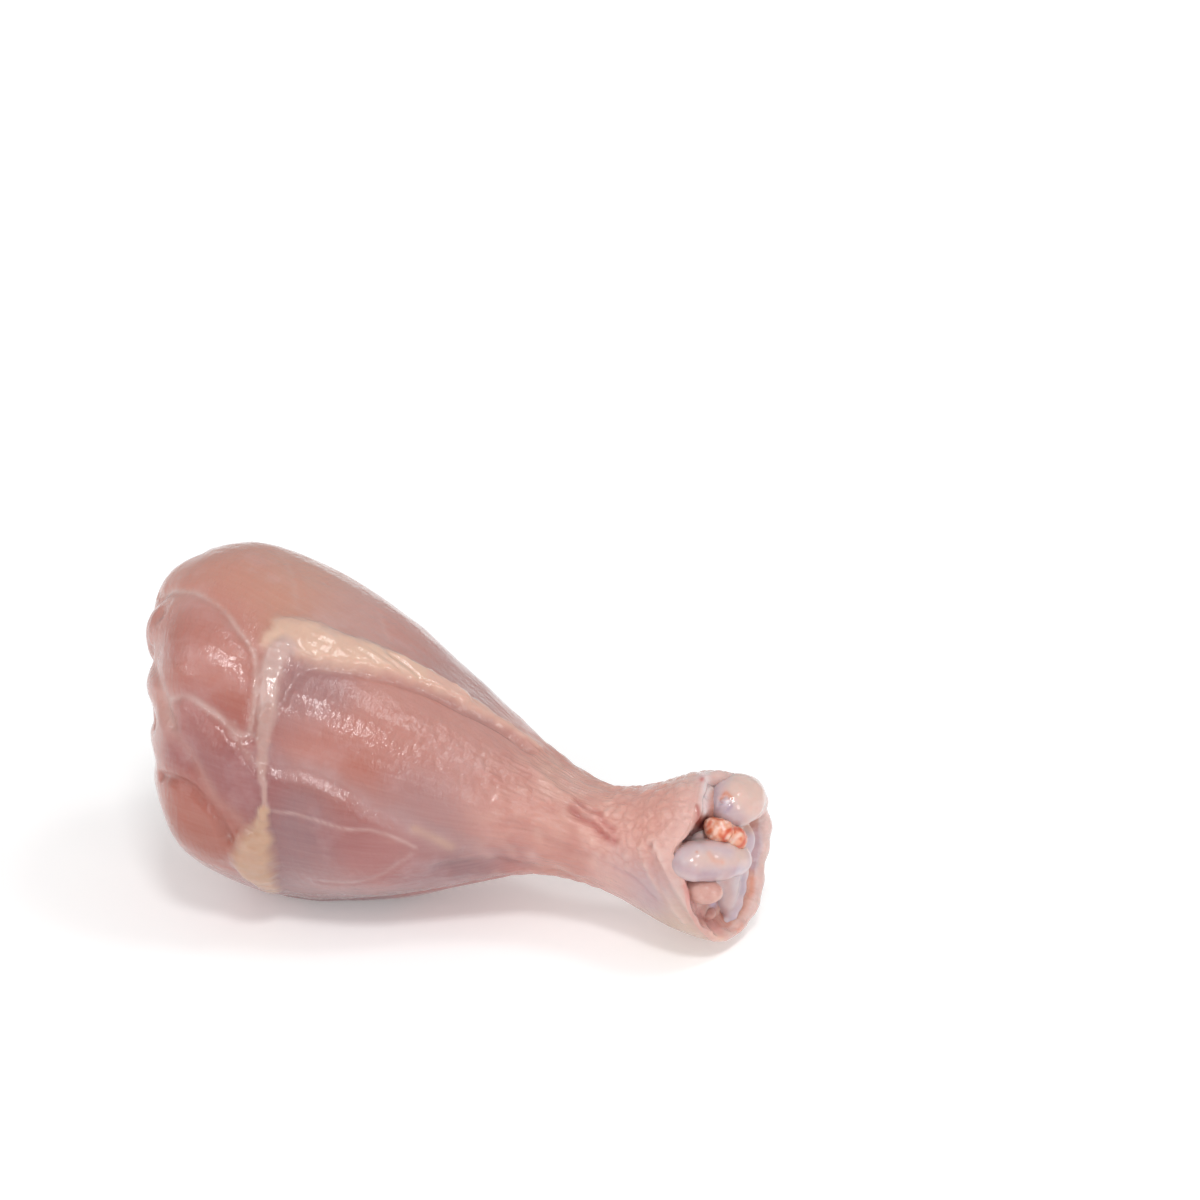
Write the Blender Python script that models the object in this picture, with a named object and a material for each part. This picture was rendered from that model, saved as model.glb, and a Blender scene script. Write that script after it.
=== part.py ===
"""Raw chicken drumstick without its skin, lying on its side.

+X runs from the knee to the ankle, -Y is the side with the fat seams, and +Z is up.
The drumstick lies on z = 0 on the flattened underside of its belly.
Sizes are in millimetres, and MM turns them into metres where a mesh is made.

The meat is drawn on a chart with two coordinates. "s" is the distance along the leg from
the middle of the thick end: positive towards the ankle, negative round the knee end.
"theta" is the angle round the leg in degrees: 0 at the back, 90 on top, 180 in front and
270 underneath. Muscles, seams and fat are all placed on this chart.
"""
import math

import bmesh
import bpy
import numpy as np

MM = 0.001
GAP = 0.35
CHANNEL_GAP = 0.6

# Middle of the thick end, and the curl of the chart round the knee
THICK_X = -34.6
THICK_Y = -0.44
THICK_Z = 27.6
CAP_MM_PER_RADIAN = 28.0
KNEE_FLATNESS = 0.60
ROUNDNESS = 2.15

# Sections of the leg: s, drop of the middle line, then the radii in front, on top,
# at the back and underneath
SECTIONS = (
    (-44.0, 0.0, 19.5, 19.5, 19.5, 19.5),
    (-33.0, 0.0, 18.0, 27.5, 21.0, 14.0),
    (-22.0, 0.0, 21.5, 31.5, 25.0, 16.0),
    (-11.0, 0.0, 25.0, 29.3, 27.0, 21.0),
    (0.0, 0.0, 26.5, 27.2, 27.5, 25.0),
    (10.0, 1.8, 26.0, 25.3, 26.5, 25.4),
    (20.0, 3.7, 23.7, 22.0, 24.5, 21.7),
    (30.0, 5.5, 20.0, 17.2, 21.0, 17.8),
    (40.0, 7.4, 15.2, 13.2, 16.5, 13.8),
    (50.0, 9.2, 10.5, 8.9, 11.5, 9.2),
    (60.0, 11.1, 8.0, 7.2, 8.5, 8.2),
    (68.0, 12.1, 9.0, 10.0, 9.5, 10.0),
    (74.0, 12.4, 11.0, 13.2, 11.5, 11.8),
    (81.0, 12.4, 11.2, 13.8, 12.4, 12.9),
)

# The narrowest part of the leg, and the cut ankle, whose plane leans to face the front and up
NECK_S = 60.0
ANKLE_S = 80.3
ANKLE_LEAN_BACK = 3.0
ANKLE_LEAN_DOWN = 1.5
RIM_THICKNESS = 1.7
SOCKET_DEPTH = 3.6

# The open knee: where the meat turns inwards round the cartilage
KNEE_LIP_S = -32.0
KNEE_FLOOR = -7.0
KNEE_FLARE = 0.25

# Number of points round the leg and along it
BONE_SIDES = 30
MEAT_SIDES = 2 * BONE_SIDES
MEAT_RINGS = 52

# Swellings of the meat: s, theta, reach and height
MUSCLES = {
    "upper": (-2.0, 104.0, 12.0, 0.8),
    "front oval": (3.0, 135.0, 6.5, 1.1),
    "front middle": (7.0, 166.0, 6.5, 1.1),
    "front low": (3.0, 195.0, 8.0, 1.4),
    "calf": (29.0, 140.0, 12.0, 1.2),
    "calf end": (42.0, 150.0, 9.0, 0.7),
    "under": (28.0, 200.0, 10.0, 1.2),
    "top ridge": (25.0, 66.0, 11.0, 0.9),
    "back high": (6.0, 30.0, 14.0, 1.0),
    "back long": (27.0, 352.0, 12.0, 1.0),
    "back low": (4.0, 318.0, 12.0, 1.0),
    "belly rest": (14.0, 270.0, 12.0, 2.2),
    "belly rest end": (28.0, 272.0, 9.0, 2.6),
}

# Ends of the muscles, which bulge in a ring round the knee: theta, s, reach, height
KNEE_LOBES = (
    (100.0, -25.0, 7.5, 1.2),
    (125.0, -22.0, 5.0, 1.5),
    (146.0, -21.0, 4.5, 1.3),
    (169.0, -20.0, 5.0, 1.5),
    (192.0, -19.0, 4.5, 1.2),
    (222.0, -20.0, 6.5, 1.6),
    (256.0, -20.0, 6.0, 1.2),
    (290.0, -21.0, 6.5, 1.5),
    (322.0, -22.0, 6.0, 1.3),
    (352.0, -23.0, 6.5, 1.6),
    (25.0, -25.0, 7.0, 1.4),
    (62.0, -26.0, 7.5, 1.5),
)

# Clefts between those ends: the angles that they lie at, where they start and stop, and their size
KNEE_CLEFT_ANGLES = (112, 136, 158, 181, 207, 240, 273, 306, 338, 8, 43, 82)
KNEE_CLEFT_ENDS = (-34.0, -15.0)
KNEE_CLEFT_HALF_WIDTH = 1.5
KNEE_CLEFT_DEPTH = 1.1

# Seams between the muscles: half width, depth, then points of the seam as s and theta
SEAMS = {
    "oval top": (1.5, 0.7, ((-22, 111), (-12, 114), (-3, 115), (3, 119), (7, 124), (11, 133))),
    "oval bottom": (1.4, 1.0, ((-20, 131), (-12, 139), (-6, 146), (-1, 151), (4, 150), (9, 153),
                               (14, 161))),
    "middle edge": (1.5, 1.1, ((-22, 157), (-12, 158), (-2, 157), (1, 162), (5, 169), (8, 178),
                               (11, 183), (14, 191))),
    "low cleft": (1.2, 0.8, ((-20, 180), (-10, 179), (0, 177), (7, 178))),
    "long front": (1.6, 1.0, ((8, 105), (11, 119), (12.5, 130), (14, 146), (14.5, 160), (15.3, 175),
                              (15, 190), (14, 205), (13.5, 222), (11, 245))),
    "calf edge": (1.9, 0.9, ((15, 162), (21, 160), (27, 164), (31, 168), (35, 173), (39, 179),
                             (43, 185), (47, 192), (51, 203), (55, 218))),
    "top back": (1.6, 0.8, ((-20, 70), (-6, 62), (6, 48), (18, 36), (32, 28), (46, 24))),
    "back": (1.7, 1.0, ((-18, 5), (-4, 356), (10, 345), (24, 332), (38, 322), (50, 318))),
    "low back": (1.6, 0.9, ((-18, 303), (-4, 296), (8, 290))),
}

# Fat that stands proud: points as s, theta, half width and height
FAT = {
    "band": ((12.5, 116, 3.4, 0.9), (15, 114, 4.2, 1.2), (18, 112, 4.0, 1.1), (22, 107, 3.8, 1.0),
             (26, 101, 3.6, 0.9), (30, 95, 3.0, 0.8), (34.5, 88, 2.8, 0.8), (39, 83, 2.3, 0.6),
             (43.5, 78, 1.6, 0.5), (48, 73, 1.0, 0.3)),
    "front strip": ((13, 122, 2.4, 0.9), (13, 131, 2.2, 0.9), (13.8, 141, 1.9, 0.8),
                    (14.4, 152, 1.3, 0.7), (14.8, 163, 0.9, 0.6), (15.2, 172, 0.8, 0.6)),
    "lower pad": ((14.6, 178, 1.2, 0.6), (13.8, 187, 2.0, 0.9), (12.8, 197, 2.6, 1.1),
                  (11.5, 207, 2.9, 1.1), (10.5, 217, 2.6, 0.9)),
    "knee back": ((-19, 18, 2.6, 0.9), (-13, 12, 3.2, 1.1), (-6, 8, 2.6, 0.9), (2, 6, 1.4, 0.5)),
}

# Where the cartilage face of the knee ends and the rounded head of the bone begins
KNEE_FACE_END = -9.4

# The shin bone: distance from the thick middle, offset in y and z, radii in y and z, and how far
# the outline has turned from an oval into the lobes of the ankle joint
BONE_SECTIONS = (
    (-11.6, 0.0, 2.0, 4.6, 4.0, 0.0),
    (-10.9, 0.0, 2.0, 6.3, 5.6, 0.0),
    (KNEE_FACE_END, 0.0, 2.0, 7.2, 6.4, 0.0),
    (KNEE_FLOOR, 0.0, 1.9, 7.3, 6.6, 0.0),
    (-3.5, 0.0, 1.5, 6.3, 5.9, 0.0),
    (1.0, 0.0, 0.9, 5.0, 4.8, 0.0),
    (8.0, 0.0, 0.3, 4.1, 4.1, 0.0),
    (18.0, 0.0, 0.0, 3.7, 3.7, 0.0),
    (32.0, 0.0, 0.0, 3.5, 3.5, 0.0),
    (46.0, 0.0, 0.0, 3.5, 3.5, 0.0),
    (58.0, 0.0, 0.0, 3.8, 4.0, 0.0),
    (66.0, 0.0, 0.0, 4.5, 5.4, 0.2),
    (71.5, 0.0, 0.0, 5.2, 6.4, 0.6),
    (75.6, 0.0, 0.0, 5.6, 7.0, 1.0),
    (80.0, 0.0, 0.0, 5.6, 7.0, 1.0),
    (82.6, 0.0, 0.2, 5.4, 6.6, 0.95),
    (84.3, 0.0, 0.9, 4.7, 5.5, 0.85),
    (85.0, -0.1, 2.2, 4.0, 4.0, 0.3),
)
KNEE_FACE_X = -11.9
KNEE_FACE_SADDLE = 0.7

# Lobes of the ankle joint: y, z and radius of the upper and front knuckle and the back ridge,
# at the sections whose radius in z is the full one
ANKLE_CORE = 3.9
ANKLE_FULL_RADIUS = 7.0
ANKLE_LOBES = ((2.2, 6.7, 4.2), (-4.4, 1.9, 4.0), (4.4, -3.6, 3.8))
LOBE_SHARPNESS = 7

# The soft red tissue in a pocket between the knuckles
POCKET_Y = -0.3
POCKET_Z = 3.3
POCKET_RADII = (3.1, 2.3)
POCKET_FLOOR = 81.2
POCKET_LIP = 84.9
POCKET_TAPER = 0.85
MARROW_TIP = 84.8

# Cut tendons that end in the ankle face, below the knuckles: y, z, radii, ends along the leg
TENDONS = {
    "tendon_front": (-5.0, -4.5, 2.2, 1.6, 76.0, 80.2),
    "tendon_back": (-2.5, -8.4, 1.4, 1.0, 77.8, 80.9),
}

COLOURS = {
    "meat": ((0.62, 0.30, 0.25), 0.35),
    "bone": ((0.70, 0.66, 0.72), 0.30),
    "marrow": ((0.66, 0.18, 0.11), 0.35),
    "tendon": ((0.72, 0.42, 0.38), 0.35),
}


def clear_scene():
    """Remove whatever the file opened with."""
    for old in list(bpy.data.objects):
        bpy.data.objects.remove(old)


def smooth_through(table, at):
    """Read a smooth curve through the rows of a table; the first column is the position."""
    knots = np.array(table, float)
    x, rows = knots[:, 0], knots[:, 1:]
    step = np.diff(x)
    slope = np.diff(rows, axis=0) / step[:, None]
    tangent = np.empty_like(rows)
    tangent[0], tangent[-1] = slope[0], slope[-1]
    both = (step[:-1] + step[1:])[:, None]
    tangent[1:-1] = (slope[:-1] * step[1:, None] + slope[1:] * step[:-1, None]) / both
    at = np.clip(np.asarray(at, float), x[0], x[-1])
    i = np.clip(np.searchsorted(x, at, side="right") - 1, 0, len(step) - 1)
    width = step[i][..., None]
    t = ((at - x[i]) / step[i])[..., None]
    return ((2 * t**3 - 3 * t**2 + 1) * rows[i] + (t**3 - 2 * t**2 + t) * width * tangent[i]
            + (3 * t**2 - 2 * t**3) * rows[i + 1] + (t**3 - t**2) * width * tangent[i + 1])


def plain_radius(s, theta):
    """Radius of the leg before any muscle, seam or fat; theta in radians."""
    drop, front, top, back, under = np.moveaxis(smooth_through(SECTIONS, s), -1, 0)
    across = np.where(np.cos(theta) > 0, back, front)
    upward = np.where(np.sin(theta) > 0, top, under)
    return ((np.abs(np.cos(theta)) / across) ** ROUNDNESS
            + (np.abs(np.sin(theta)) / upward) ** ROUNDNESS) ** (-1 / ROUNDNESS)


def chart_point(s, theta, radius):
    """Turn chart coordinates and a radius into x, y, z in millimetres."""
    s, theta, radius = np.broadcast_arrays(s, theta, radius)
    curl = np.minimum(s, 0) / CAP_MM_PER_RADIAN
    along = np.maximum(s, 0)
    drop = smooth_through(SECTIONS, along)[..., 0]
    out = radius * np.cos(curl)
    x = THICK_X + along + KNEE_FLATNESS * radius * np.sin(curl)
    y = THICK_Y + out * np.cos(theta)
    z = THICK_Z - drop + out * np.sin(theta)
    return np.stack([x, y, z], axis=-1)


def on_plain(s, degrees):
    """The point of the plain leg at a chart position."""
    theta = np.radians(degrees)
    return chart_point(s, theta, plain_radius(s, theta))


def trace(points, per_piece=6):
    """Draw a smooth line on the leg through chart points, with any widths that they carry."""
    knots = np.array(points, float)
    number = np.arange(len(knots))
    table = np.column_stack([number, knots])
    fine = np.linspace(0, len(knots) - 1, per_piece * (len(knots) - 1) + 1)
    line = smooth_through(table, fine)
    return on_plain(line[:, 0], line[:, 1]), line[:, 2:]


def nearest(places, line):
    """Distance from every place to a line, and the number of the line's closest point."""
    gaps = np.linalg.norm(places[..., None, :] - line, axis=-1)
    return gaps.min(axis=-1), gaps.argmin(axis=-1)


def swelling(places, s, degrees, reach, height):
    """A soft round bulge."""
    away = np.linalg.norm(places - on_plain(s, degrees), axis=-1)
    return height * np.exp(-(away / reach) ** 2)


def relief(places):
    """Height of muscles and fat above the plain leg, less the depth of the seams."""
    height = np.zeros(places.shape[:-1])
    for s, degrees, reach, rise in MUSCLES.values():
        height += swelling(places, s, degrees, reach, rise)
    for degrees, s, reach, rise in KNEE_LOBES:
        height += swelling(places, s, degrees, reach, rise)
    for degrees in KNEE_CLEFT_ANGLES:
        line = on_plain(np.linspace(*KNEE_CLEFT_ENDS, 12), np.full(12, degrees))
        away, _ = nearest(places, line)
        height -= KNEE_CLEFT_DEPTH * np.exp(-(away / KNEE_CLEFT_HALF_WIDTH) ** 2)
    for half_width, depth, points in SEAMS.values():
        away, _ = nearest(places, trace(points)[0])
        height -= depth * np.exp(-(away / half_width) ** 2)
    for points in FAT.values():
        line, sizes = trace(points)
        away, closest = nearest(places, line)
        half_width, rise = np.moveaxis(sizes[closest], -1, 0)
        height += rise * np.exp(-(away / half_width) ** 4)
    return height


def ankle_shift(s, theta):
    """How far the leaning ankle cut moves a ring along the leg."""
    lean = ANKLE_LEAN_BACK * np.cos(theta) - ANKLE_LEAN_DOWN * np.sin(theta)
    part = np.clip((s - NECK_S) / (ANKLE_S - NECK_S), 0, 1)
    return lean * part * part * (3 - 2 * part)


def meat_ring(s, theta, inward=0.0):
    """One ring of the outer surface, or of the same shape a little further in."""
    s = s + ankle_shift(s, theta)
    radius = plain_radius(s, theta)
    places = chart_point(s, theta, radius)
    return chart_point(s, theta, radius + relief(places) - inward)


def lobed_outline(theta):
    """Radius of the joint end: the outer edge of three knuckles round a core."""
    sum_of_powers = np.full(theta.shape, ANKLE_CORE ** LOBE_SHARPNESS)
    for y, z, radius in ANKLE_LOBES:
        towards = y * np.cos(theta) + z * np.sin(theta)
        inside = towards**2 - (y * y + z * z - radius * radius)
        exit_at = np.where(inside > 0, towards + np.sqrt(np.maximum(inside, 0)), 0)
        sum_of_powers += np.maximum(exit_at, 0) ** LOBE_SHARPNESS
    return sum_of_powers ** (1 / LOBE_SHARPNESS)


def bone_ring(section, theta, clearance=0.0):
    """One ring of the shin bone, or of the channel round it."""
    along, y, z, radius_y, radius_z, lobed = section
    oval = 1 / np.hypot(np.cos(theta) / radius_y, np.sin(theta) / radius_z)
    full = lobed_outline(theta)
    radius = oval * (1 - lobed) + full * (radius_z / ANKLE_FULL_RADIUS) * lobed + clearance
    drop = smooth_through(SECTIONS, max(along, 0))[0]
    saddle = KNEE_FACE_SADDLE * np.cos(2 * theta) * (along <= KNEE_FACE_END)
    x = THICK_X + along + saddle
    return np.stack([x + 0 * theta, THICK_Y + y + radius * np.cos(theta),
                     THICK_Z - drop + z + radius * np.sin(theta)], axis=-1)


def round_angles(sides):
    """Equal steps round the leg, in radians."""
    return np.arange(sides) * 2 * math.pi / sides


def channel_ring(section):
    """The hole round the bone: the bone's own ring made wider, with a point in each edge."""
    ring = bone_ring(section, round_angles(BONE_SIDES), CHANNEL_GAP)
    middle = (ring + np.roll(ring, -1, axis=0)) / 2
    return np.stack([ring, middle], axis=1).reshape(-1, 3)


def loft(name, rings, colour, first_tip=None, last_tip=None):
    """Join rings of points into one closed piece: capped at tips, or in a loop without them."""
    mesh = bpy.data.meshes.new(name)
    shape = bmesh.new()
    rows = [[shape.verts.new([c * MM for c in point]) for point in ring] for ring in rings]
    looped = first_tip is None
    for number in range(len(rows) if looped else len(rows) - 1):
        here, following = rows[number], rows[(number + 1) % len(rows)]
        for i in range(len(here)):
            j = (i + 1) % len(here)
            shape.faces.new((here[i], here[j], following[j], following[i]))
    for tip, row in ((first_tip, rows[0]), (last_tip, rows[-1])):
        if tip is not None:
            point = shape.verts.new([c * MM for c in tip])
            for i in range(len(row)):
                shape.faces.new((row[i], row[(i + 1) % len(row)], point))
    bmesh.ops.recalc_face_normals(shape, faces=shape.faces[:])
    shape.to_mesh(mesh)
    shape.free()
    mesh.shade_smooth()
    piece = bpy.data.objects.new(name, mesh)
    mesh.materials.append(material(colour))
    bpy.context.collection.objects.link(piece)
    return piece


def material(name):
    """The plain colour and gloss of one tissue."""
    found = bpy.data.materials.get(name)
    if found:
        return found
    (red, green, blue), roughness = COLOURS[name]
    made = bpy.data.materials.new(name)
    made.use_nodes = True
    shader = made.node_tree.nodes["Principled BSDF"]
    shader.inputs["Base Color"].default_value = (red, green, blue, 1)
    shader.inputs["Roughness"].default_value = roughness
    shader.inputs["Metallic"].default_value = 0
    return made


def make_flesh():
    """The meat: outside, over the ankle rim into its socket, back along the bone to the knee."""
    theta = round_angles(MEAT_SIDES)
    rings = [meat_ring(s, theta) for s in np.linspace(KNEE_LIP_S, ANKLE_S, MEAT_RINGS)]
    floor = ANKLE_S - SOCKET_DEPTH
    for s, share in ((ANKLE_S + 0.7, 0.35), (ANKLE_S + 0.5, 0.8), (ANKLE_S - 1.0, 1), (floor, 1)):
        rings.append(meat_ring(s, theta, share * RIM_THICKNESS))
    inside = [row for row in BONE_SECTIONS if KNEE_FLOOR <= row[0] < floor]
    for section in reversed(inside):
        rings.append(channel_ring(section))
    lip = rings[0]
    head = next(row for row in BONE_SECTIONS if row[0] == KNEE_FACE_END)
    wall = channel_ring(head)
    rings.append(wall + KNEE_FLARE * (lip - wall))
    for ring in rings:
        ring[:, 2] = np.maximum(ring[:, 2], 0)
    return loft("flesh", rings, "meat")


def make_bone():
    """The shin bone, from the cartilage of the knee to the knuckles of the ankle."""
    theta = round_angles(BONE_SIDES)
    rings = [bone_ring(section, theta) for section in BONE_SECTIONS]
    axis_z = THICK_Z - smooth_through(SECTIONS, POCKET_FLOOR)[0]
    for along, share in ((POCKET_LIP, 1), (POCKET_FLOOR, POCKET_TAPER)):
        y = THICK_Y + POCKET_Y + share * POCKET_RADII[0] * np.cos(theta)
        z = axis_z + POCKET_Z + share * POCKET_RADII[1] * np.sin(theta)
        rings.append(np.stack([THICK_X + along + 0 * theta, y, z], axis=-1))
    knee = (THICK_X + KNEE_FACE_X, THICK_Y, THICK_Z + BONE_SECTIONS[0][2])
    pocket = (THICK_X + POCKET_FLOOR, THICK_Y + POCKET_Y, axis_z + POCKET_Z)
    return loft("bone", rings, "bone", knee, pocket)


def plug(name, colour, y, z, radius_y, radius_z, start, end, waist=0.0, sides=14):
    """A short rounded plug along the leg; a waist pinches it into two lumps."""
    theta = round_angles(sides)
    axis_z = THICK_Z - smooth_through(SECTIONS, start)[0]
    rings = []
    for share, size in ((0.0, 0.75), (0.12, 0.95), (0.45, 1.0), (0.75, 0.9), (0.93, 0.6)):
        radius = size * (1 - waist * np.sin(theta) ** 2)
        x = THICK_X + start + share * (end - start) + 0 * theta
        rings.append(np.stack([x, THICK_Y + y + radius * radius_y * np.cos(theta),
                               axis_z + z + radius * radius_z * np.sin(theta)], axis=-1))
    first = (THICK_X + start, THICK_Y + y, axis_z + z)
    last = (THICK_X + end, THICK_Y + y, axis_z + z)
    return loft(name, rings, colour, first, last)


def make_ankle_tissue():
    """Red tissue in the pocket, and the cut tendons below it."""
    radius_y, radius_z = (POCKET_TAPER * radius - GAP for radius in POCKET_RADII)
    plug("marrow", "marrow", POCKET_Y, POCKET_Z, radius_y, radius_z,
         POCKET_FLOOR + GAP, MARROW_TIP, waist=0.2)
    for name, sizes in TENDONS.items():
        plug(name, "tendon", *sizes)


clear_scene()
make_flesh()
make_bone()
make_ankle_tissue()
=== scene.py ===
# %% [markdown]
# # Finishing a raw chicken drumstick
# The solids already have the drumstick's real size and its main swellings, but they are faceted
# and plain. This lesson gives them what the eye reads as fresh raw meat: translucent muscle under
# a thin wet membrane, white seams, cream fat, pebbled skin at the ankle and glossy cartilage.
# The scene starts with the solids as a fixed frame. All lengths here are in millimetres, and MM
# turns them into metres where a mesh is made.

# %% Load the solids
import math

import bmesh
import bpy
import numpy as np
from mathutils import Matrix, Vector, noise
from mathutils.bvhtree import BVHTree


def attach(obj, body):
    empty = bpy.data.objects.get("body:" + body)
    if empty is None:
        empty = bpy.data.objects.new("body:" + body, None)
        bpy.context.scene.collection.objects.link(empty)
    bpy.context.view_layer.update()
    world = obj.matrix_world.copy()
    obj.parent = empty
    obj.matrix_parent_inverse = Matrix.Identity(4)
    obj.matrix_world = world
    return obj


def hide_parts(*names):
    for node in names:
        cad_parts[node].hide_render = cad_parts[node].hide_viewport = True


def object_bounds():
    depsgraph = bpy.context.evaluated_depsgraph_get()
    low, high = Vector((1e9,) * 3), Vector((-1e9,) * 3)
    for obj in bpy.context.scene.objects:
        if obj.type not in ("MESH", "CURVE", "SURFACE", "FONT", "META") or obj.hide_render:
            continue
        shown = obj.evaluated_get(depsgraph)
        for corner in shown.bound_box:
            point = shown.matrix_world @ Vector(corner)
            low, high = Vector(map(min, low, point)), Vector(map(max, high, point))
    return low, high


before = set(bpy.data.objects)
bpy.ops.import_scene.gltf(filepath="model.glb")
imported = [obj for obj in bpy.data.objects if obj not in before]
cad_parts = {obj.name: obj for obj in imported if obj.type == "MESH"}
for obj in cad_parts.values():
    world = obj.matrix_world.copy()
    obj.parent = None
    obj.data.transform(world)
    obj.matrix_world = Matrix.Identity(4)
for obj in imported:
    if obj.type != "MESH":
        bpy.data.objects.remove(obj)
cad_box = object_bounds()
MM = 0.001
box_low, box_high = (np.array(corner) / MM for corner in cad_box)
print("solids:", sorted(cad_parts), "size in mm:", (box_high - box_low).round(1))

# %% [markdown]
# ## The camera
# The picture was taken with a long lens from the front, a little to the right and above. A camera
# could be placed by eye, but the seams and fat below are placed by where they show in the
# picture, so the camera has to fit. It is placed from three numbers that were fitted together:
# its direction, its distance, and the pixel where the middle of the thick end shows.

# %% The camera of the picture
PICTURE_PIXELS = 1200
LENS = 85.0
SENSOR = 36.0
THICK_MIDDLE = np.array([-34.6, -0.44, 27.6])
THICK_PIXEL = (256, 716)
CAMERA_TURN = math.radians(20)
CAMERA_HEIGHT = math.radians(21.5)
CAMERA_DISTANCE = 460.0

FOCAL = LENS / SENSOR * PICTURE_PIXELS
BACKWARD = np.array([math.sin(CAMERA_TURN) * math.cos(CAMERA_HEIGHT),
                     -math.cos(CAMERA_TURN) * math.cos(CAMERA_HEIGHT),
                     math.sin(CAMERA_HEIGHT)])
RIGHTWARD = np.array([math.cos(CAMERA_TURN), math.sin(CAMERA_TURN), 0.0])
UPWARD = np.cross(BACKWARD, RIGHTWARD)


def pixel_direction(x, y):
    """The direction from the camera through a pixel of the picture."""
    across = (x - PICTURE_PIXELS / 2) / FOCAL
    down = (y - PICTURE_PIXELS / 2) / FOCAL
    return across * RIGHTWARD - down * UPWARD - BACKWARD


camera_place = THICK_MIDDLE - CAMERA_DISTANCE * pixel_direction(*THICK_PIXEL)
camera_data = bpy.data.cameras.new("picture camera")
camera_data.lens = LENS
camera_data.sensor_width = SENSOR
camera_data.clip_start = 0.01
camera = bpy.data.objects.new("picture camera", camera_data)
turned = Matrix((RIGHTWARD, UPWARD, BACKWARD)).transposed().to_4x4()
camera.matrix_world = Matrix.Translation(Vector(camera_place * MM)) @ turned
bpy.context.scene.collection.objects.link(camera)
bpy.context.scene.camera = camera
print("camera at", (camera_place * MM).round(3))

# %% [markdown]
# ## A fine chart of the meat
# A drumstick is a tapering tube, so every point of it has two natural coordinates: how far along
# the leg it is, and how far round. The knee end curls over like a cap. A remeshed copy of the
# solid would do, but a regular grid keeps those two coordinates for every point, so that muscle
# fibres, seams and skin can follow the leg. The grid is measured from the solid with rays, and
# its radius is blurred a little, which takes away the facets and keeps the swellings.

# %% The chart
# The chart runs from the lip of the knee, over the middle of the thick end at 0, to the cut rim
LIP_START = -31.9
NECK = 60.0
ANKLE_END = 80.2
# Past 0 the rays of the knee end fan out: mm of chart per radian, and how flat the cap is
CAP_PER_RADIAN = 28.0
KNEE_FLATNESS = 0.60
# The middle of the leg sinks towards the ankle: mm along it, mm down
DROP = ((0, 0), (10, 1.8), (20, 3.7), (30, 5.5), (40, 7.4), (50, 9.2), (60, 11.1), (68, 12.1), (74, 12.4))
# The cut rim of the ankle leans, and has dips: degrees round the leg, spread, depth
ANKLE_LEAN_BACK = 3.0
ANKLE_LEAN_DOWN = 1.5
RIM_DIPS = ((85, 24, 2.6), (152, 13, 2.0), (330, 25, 1.0))
# Distance between rows, and the number of points round the leg
ROW_STEP = 0.36
AROUND = 480


def smooth_step(low, high, value):
    """0 below low, 1 above high, and a smooth rise between them."""
    t = np.clip((np.asarray(value, float) - low) / (high - low), 0, 1)
    return t * t * (3 - 2 * t)


def chart_rays(s, theta):
    """The middle of the leg and the direction outwards for chart coordinates."""
    lean = ANKLE_LEAN_BACK * np.cos(theta) - ANKLE_LEAN_DOWN * np.sin(theta)
    for angle, spread, depth in RIM_DIPS:
        gap = (np.degrees(theta) - angle + 180) % 360 - 180
        lean = lean - depth * np.exp(-(gap / spread) ** 2)
    s = s + lean * smooth_step(NECK, ANKLE_END, s)
    curl = np.minimum(s, 0) / CAP_PER_RADIAN
    along = np.maximum(s, 0)
    drop = np.interp(along, *zip(*DROP))
    middle = np.stack([along, 0 * s, -drop], axis=-1) + THICK_MIDDLE
    out = np.stack([KNEE_FLATNESS * np.sin(curl), np.cos(curl) * np.cos(theta),
                    np.cos(curl) * np.sin(theta)], axis=-1)
    return middle, out / np.linalg.norm(out, axis=-1, keepdims=True)


rows = np.arange(LIP_START, ANKLE_END, ROW_STEP)
turns = np.arange(AROUND) * 2 * math.pi / AROUND
grid_s, grid_theta = np.meshgrid(rows, turns, indexing="ij")
middles, outward = chart_rays(grid_s, grid_theta)
print("chart:", grid_s.shape, "points")

# %% Measure the solid and blur away its facets
# The rays start this far outside the meat and run inwards
OUTSIDE = 60.0
# Spread of the blur, in rows along the leg and in points round it
BLUR_ROWS = 4.0
BLUR_ROUND = 5.0
flesh_solid = BVHTree.FromObject(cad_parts["flesh"], bpy.context.evaluated_depsgraph_get())


def blurred(field, spread_along, spread_round):
    """Average a field of the chart with its neighbours; it wraps round the leg."""
    for axis, spread in ((0, spread_along), (1, spread_round)):
        reach = int(3 * spread)
        steps = np.arange(-reach, reach + 1)
        weights = np.exp(-0.5 * (steps / spread) ** 2)
        if axis == 0:
            padded = np.pad(field, ((reach, reach), (0, 0)), mode="edge")
            parts = [padded[reach + k:reach + k + len(field)] for k in steps]
        else:
            parts = [np.roll(field, -k, axis=1) for k in steps]
        field = sum(w * part for w, part in zip(weights / weights.sum(), parts))
    return field


start = ((middles + outward * OUTSIDE) * MM).reshape(-1, 3).tolist()
inward = (-outward).reshape(-1, 3).tolist()
depths = [flesh_solid.ray_cast(p, d)[3] for p, d in zip(start, inward)]
radius = np.array([np.nan if depth is None else OUTSIDE - depth / MM for depth in depths])
radius = radius.reshape(grid_s.shape)
missed = np.isnan(radius)
for row in np.flatnonzero(missed.any(axis=1)):
    near_row = row + 1 if row < len(rows) // 2 else row - 1
    radius[row, missed[row]] = radius[near_row, missed[row]]
radius = blurred(radius, BLUR_ROWS, BLUR_ROUND)
place = middles + outward * radius[..., None]
print("rays that missed:", int(missed.sum()), "thickest:", radius.max().round(1), "mm")

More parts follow.
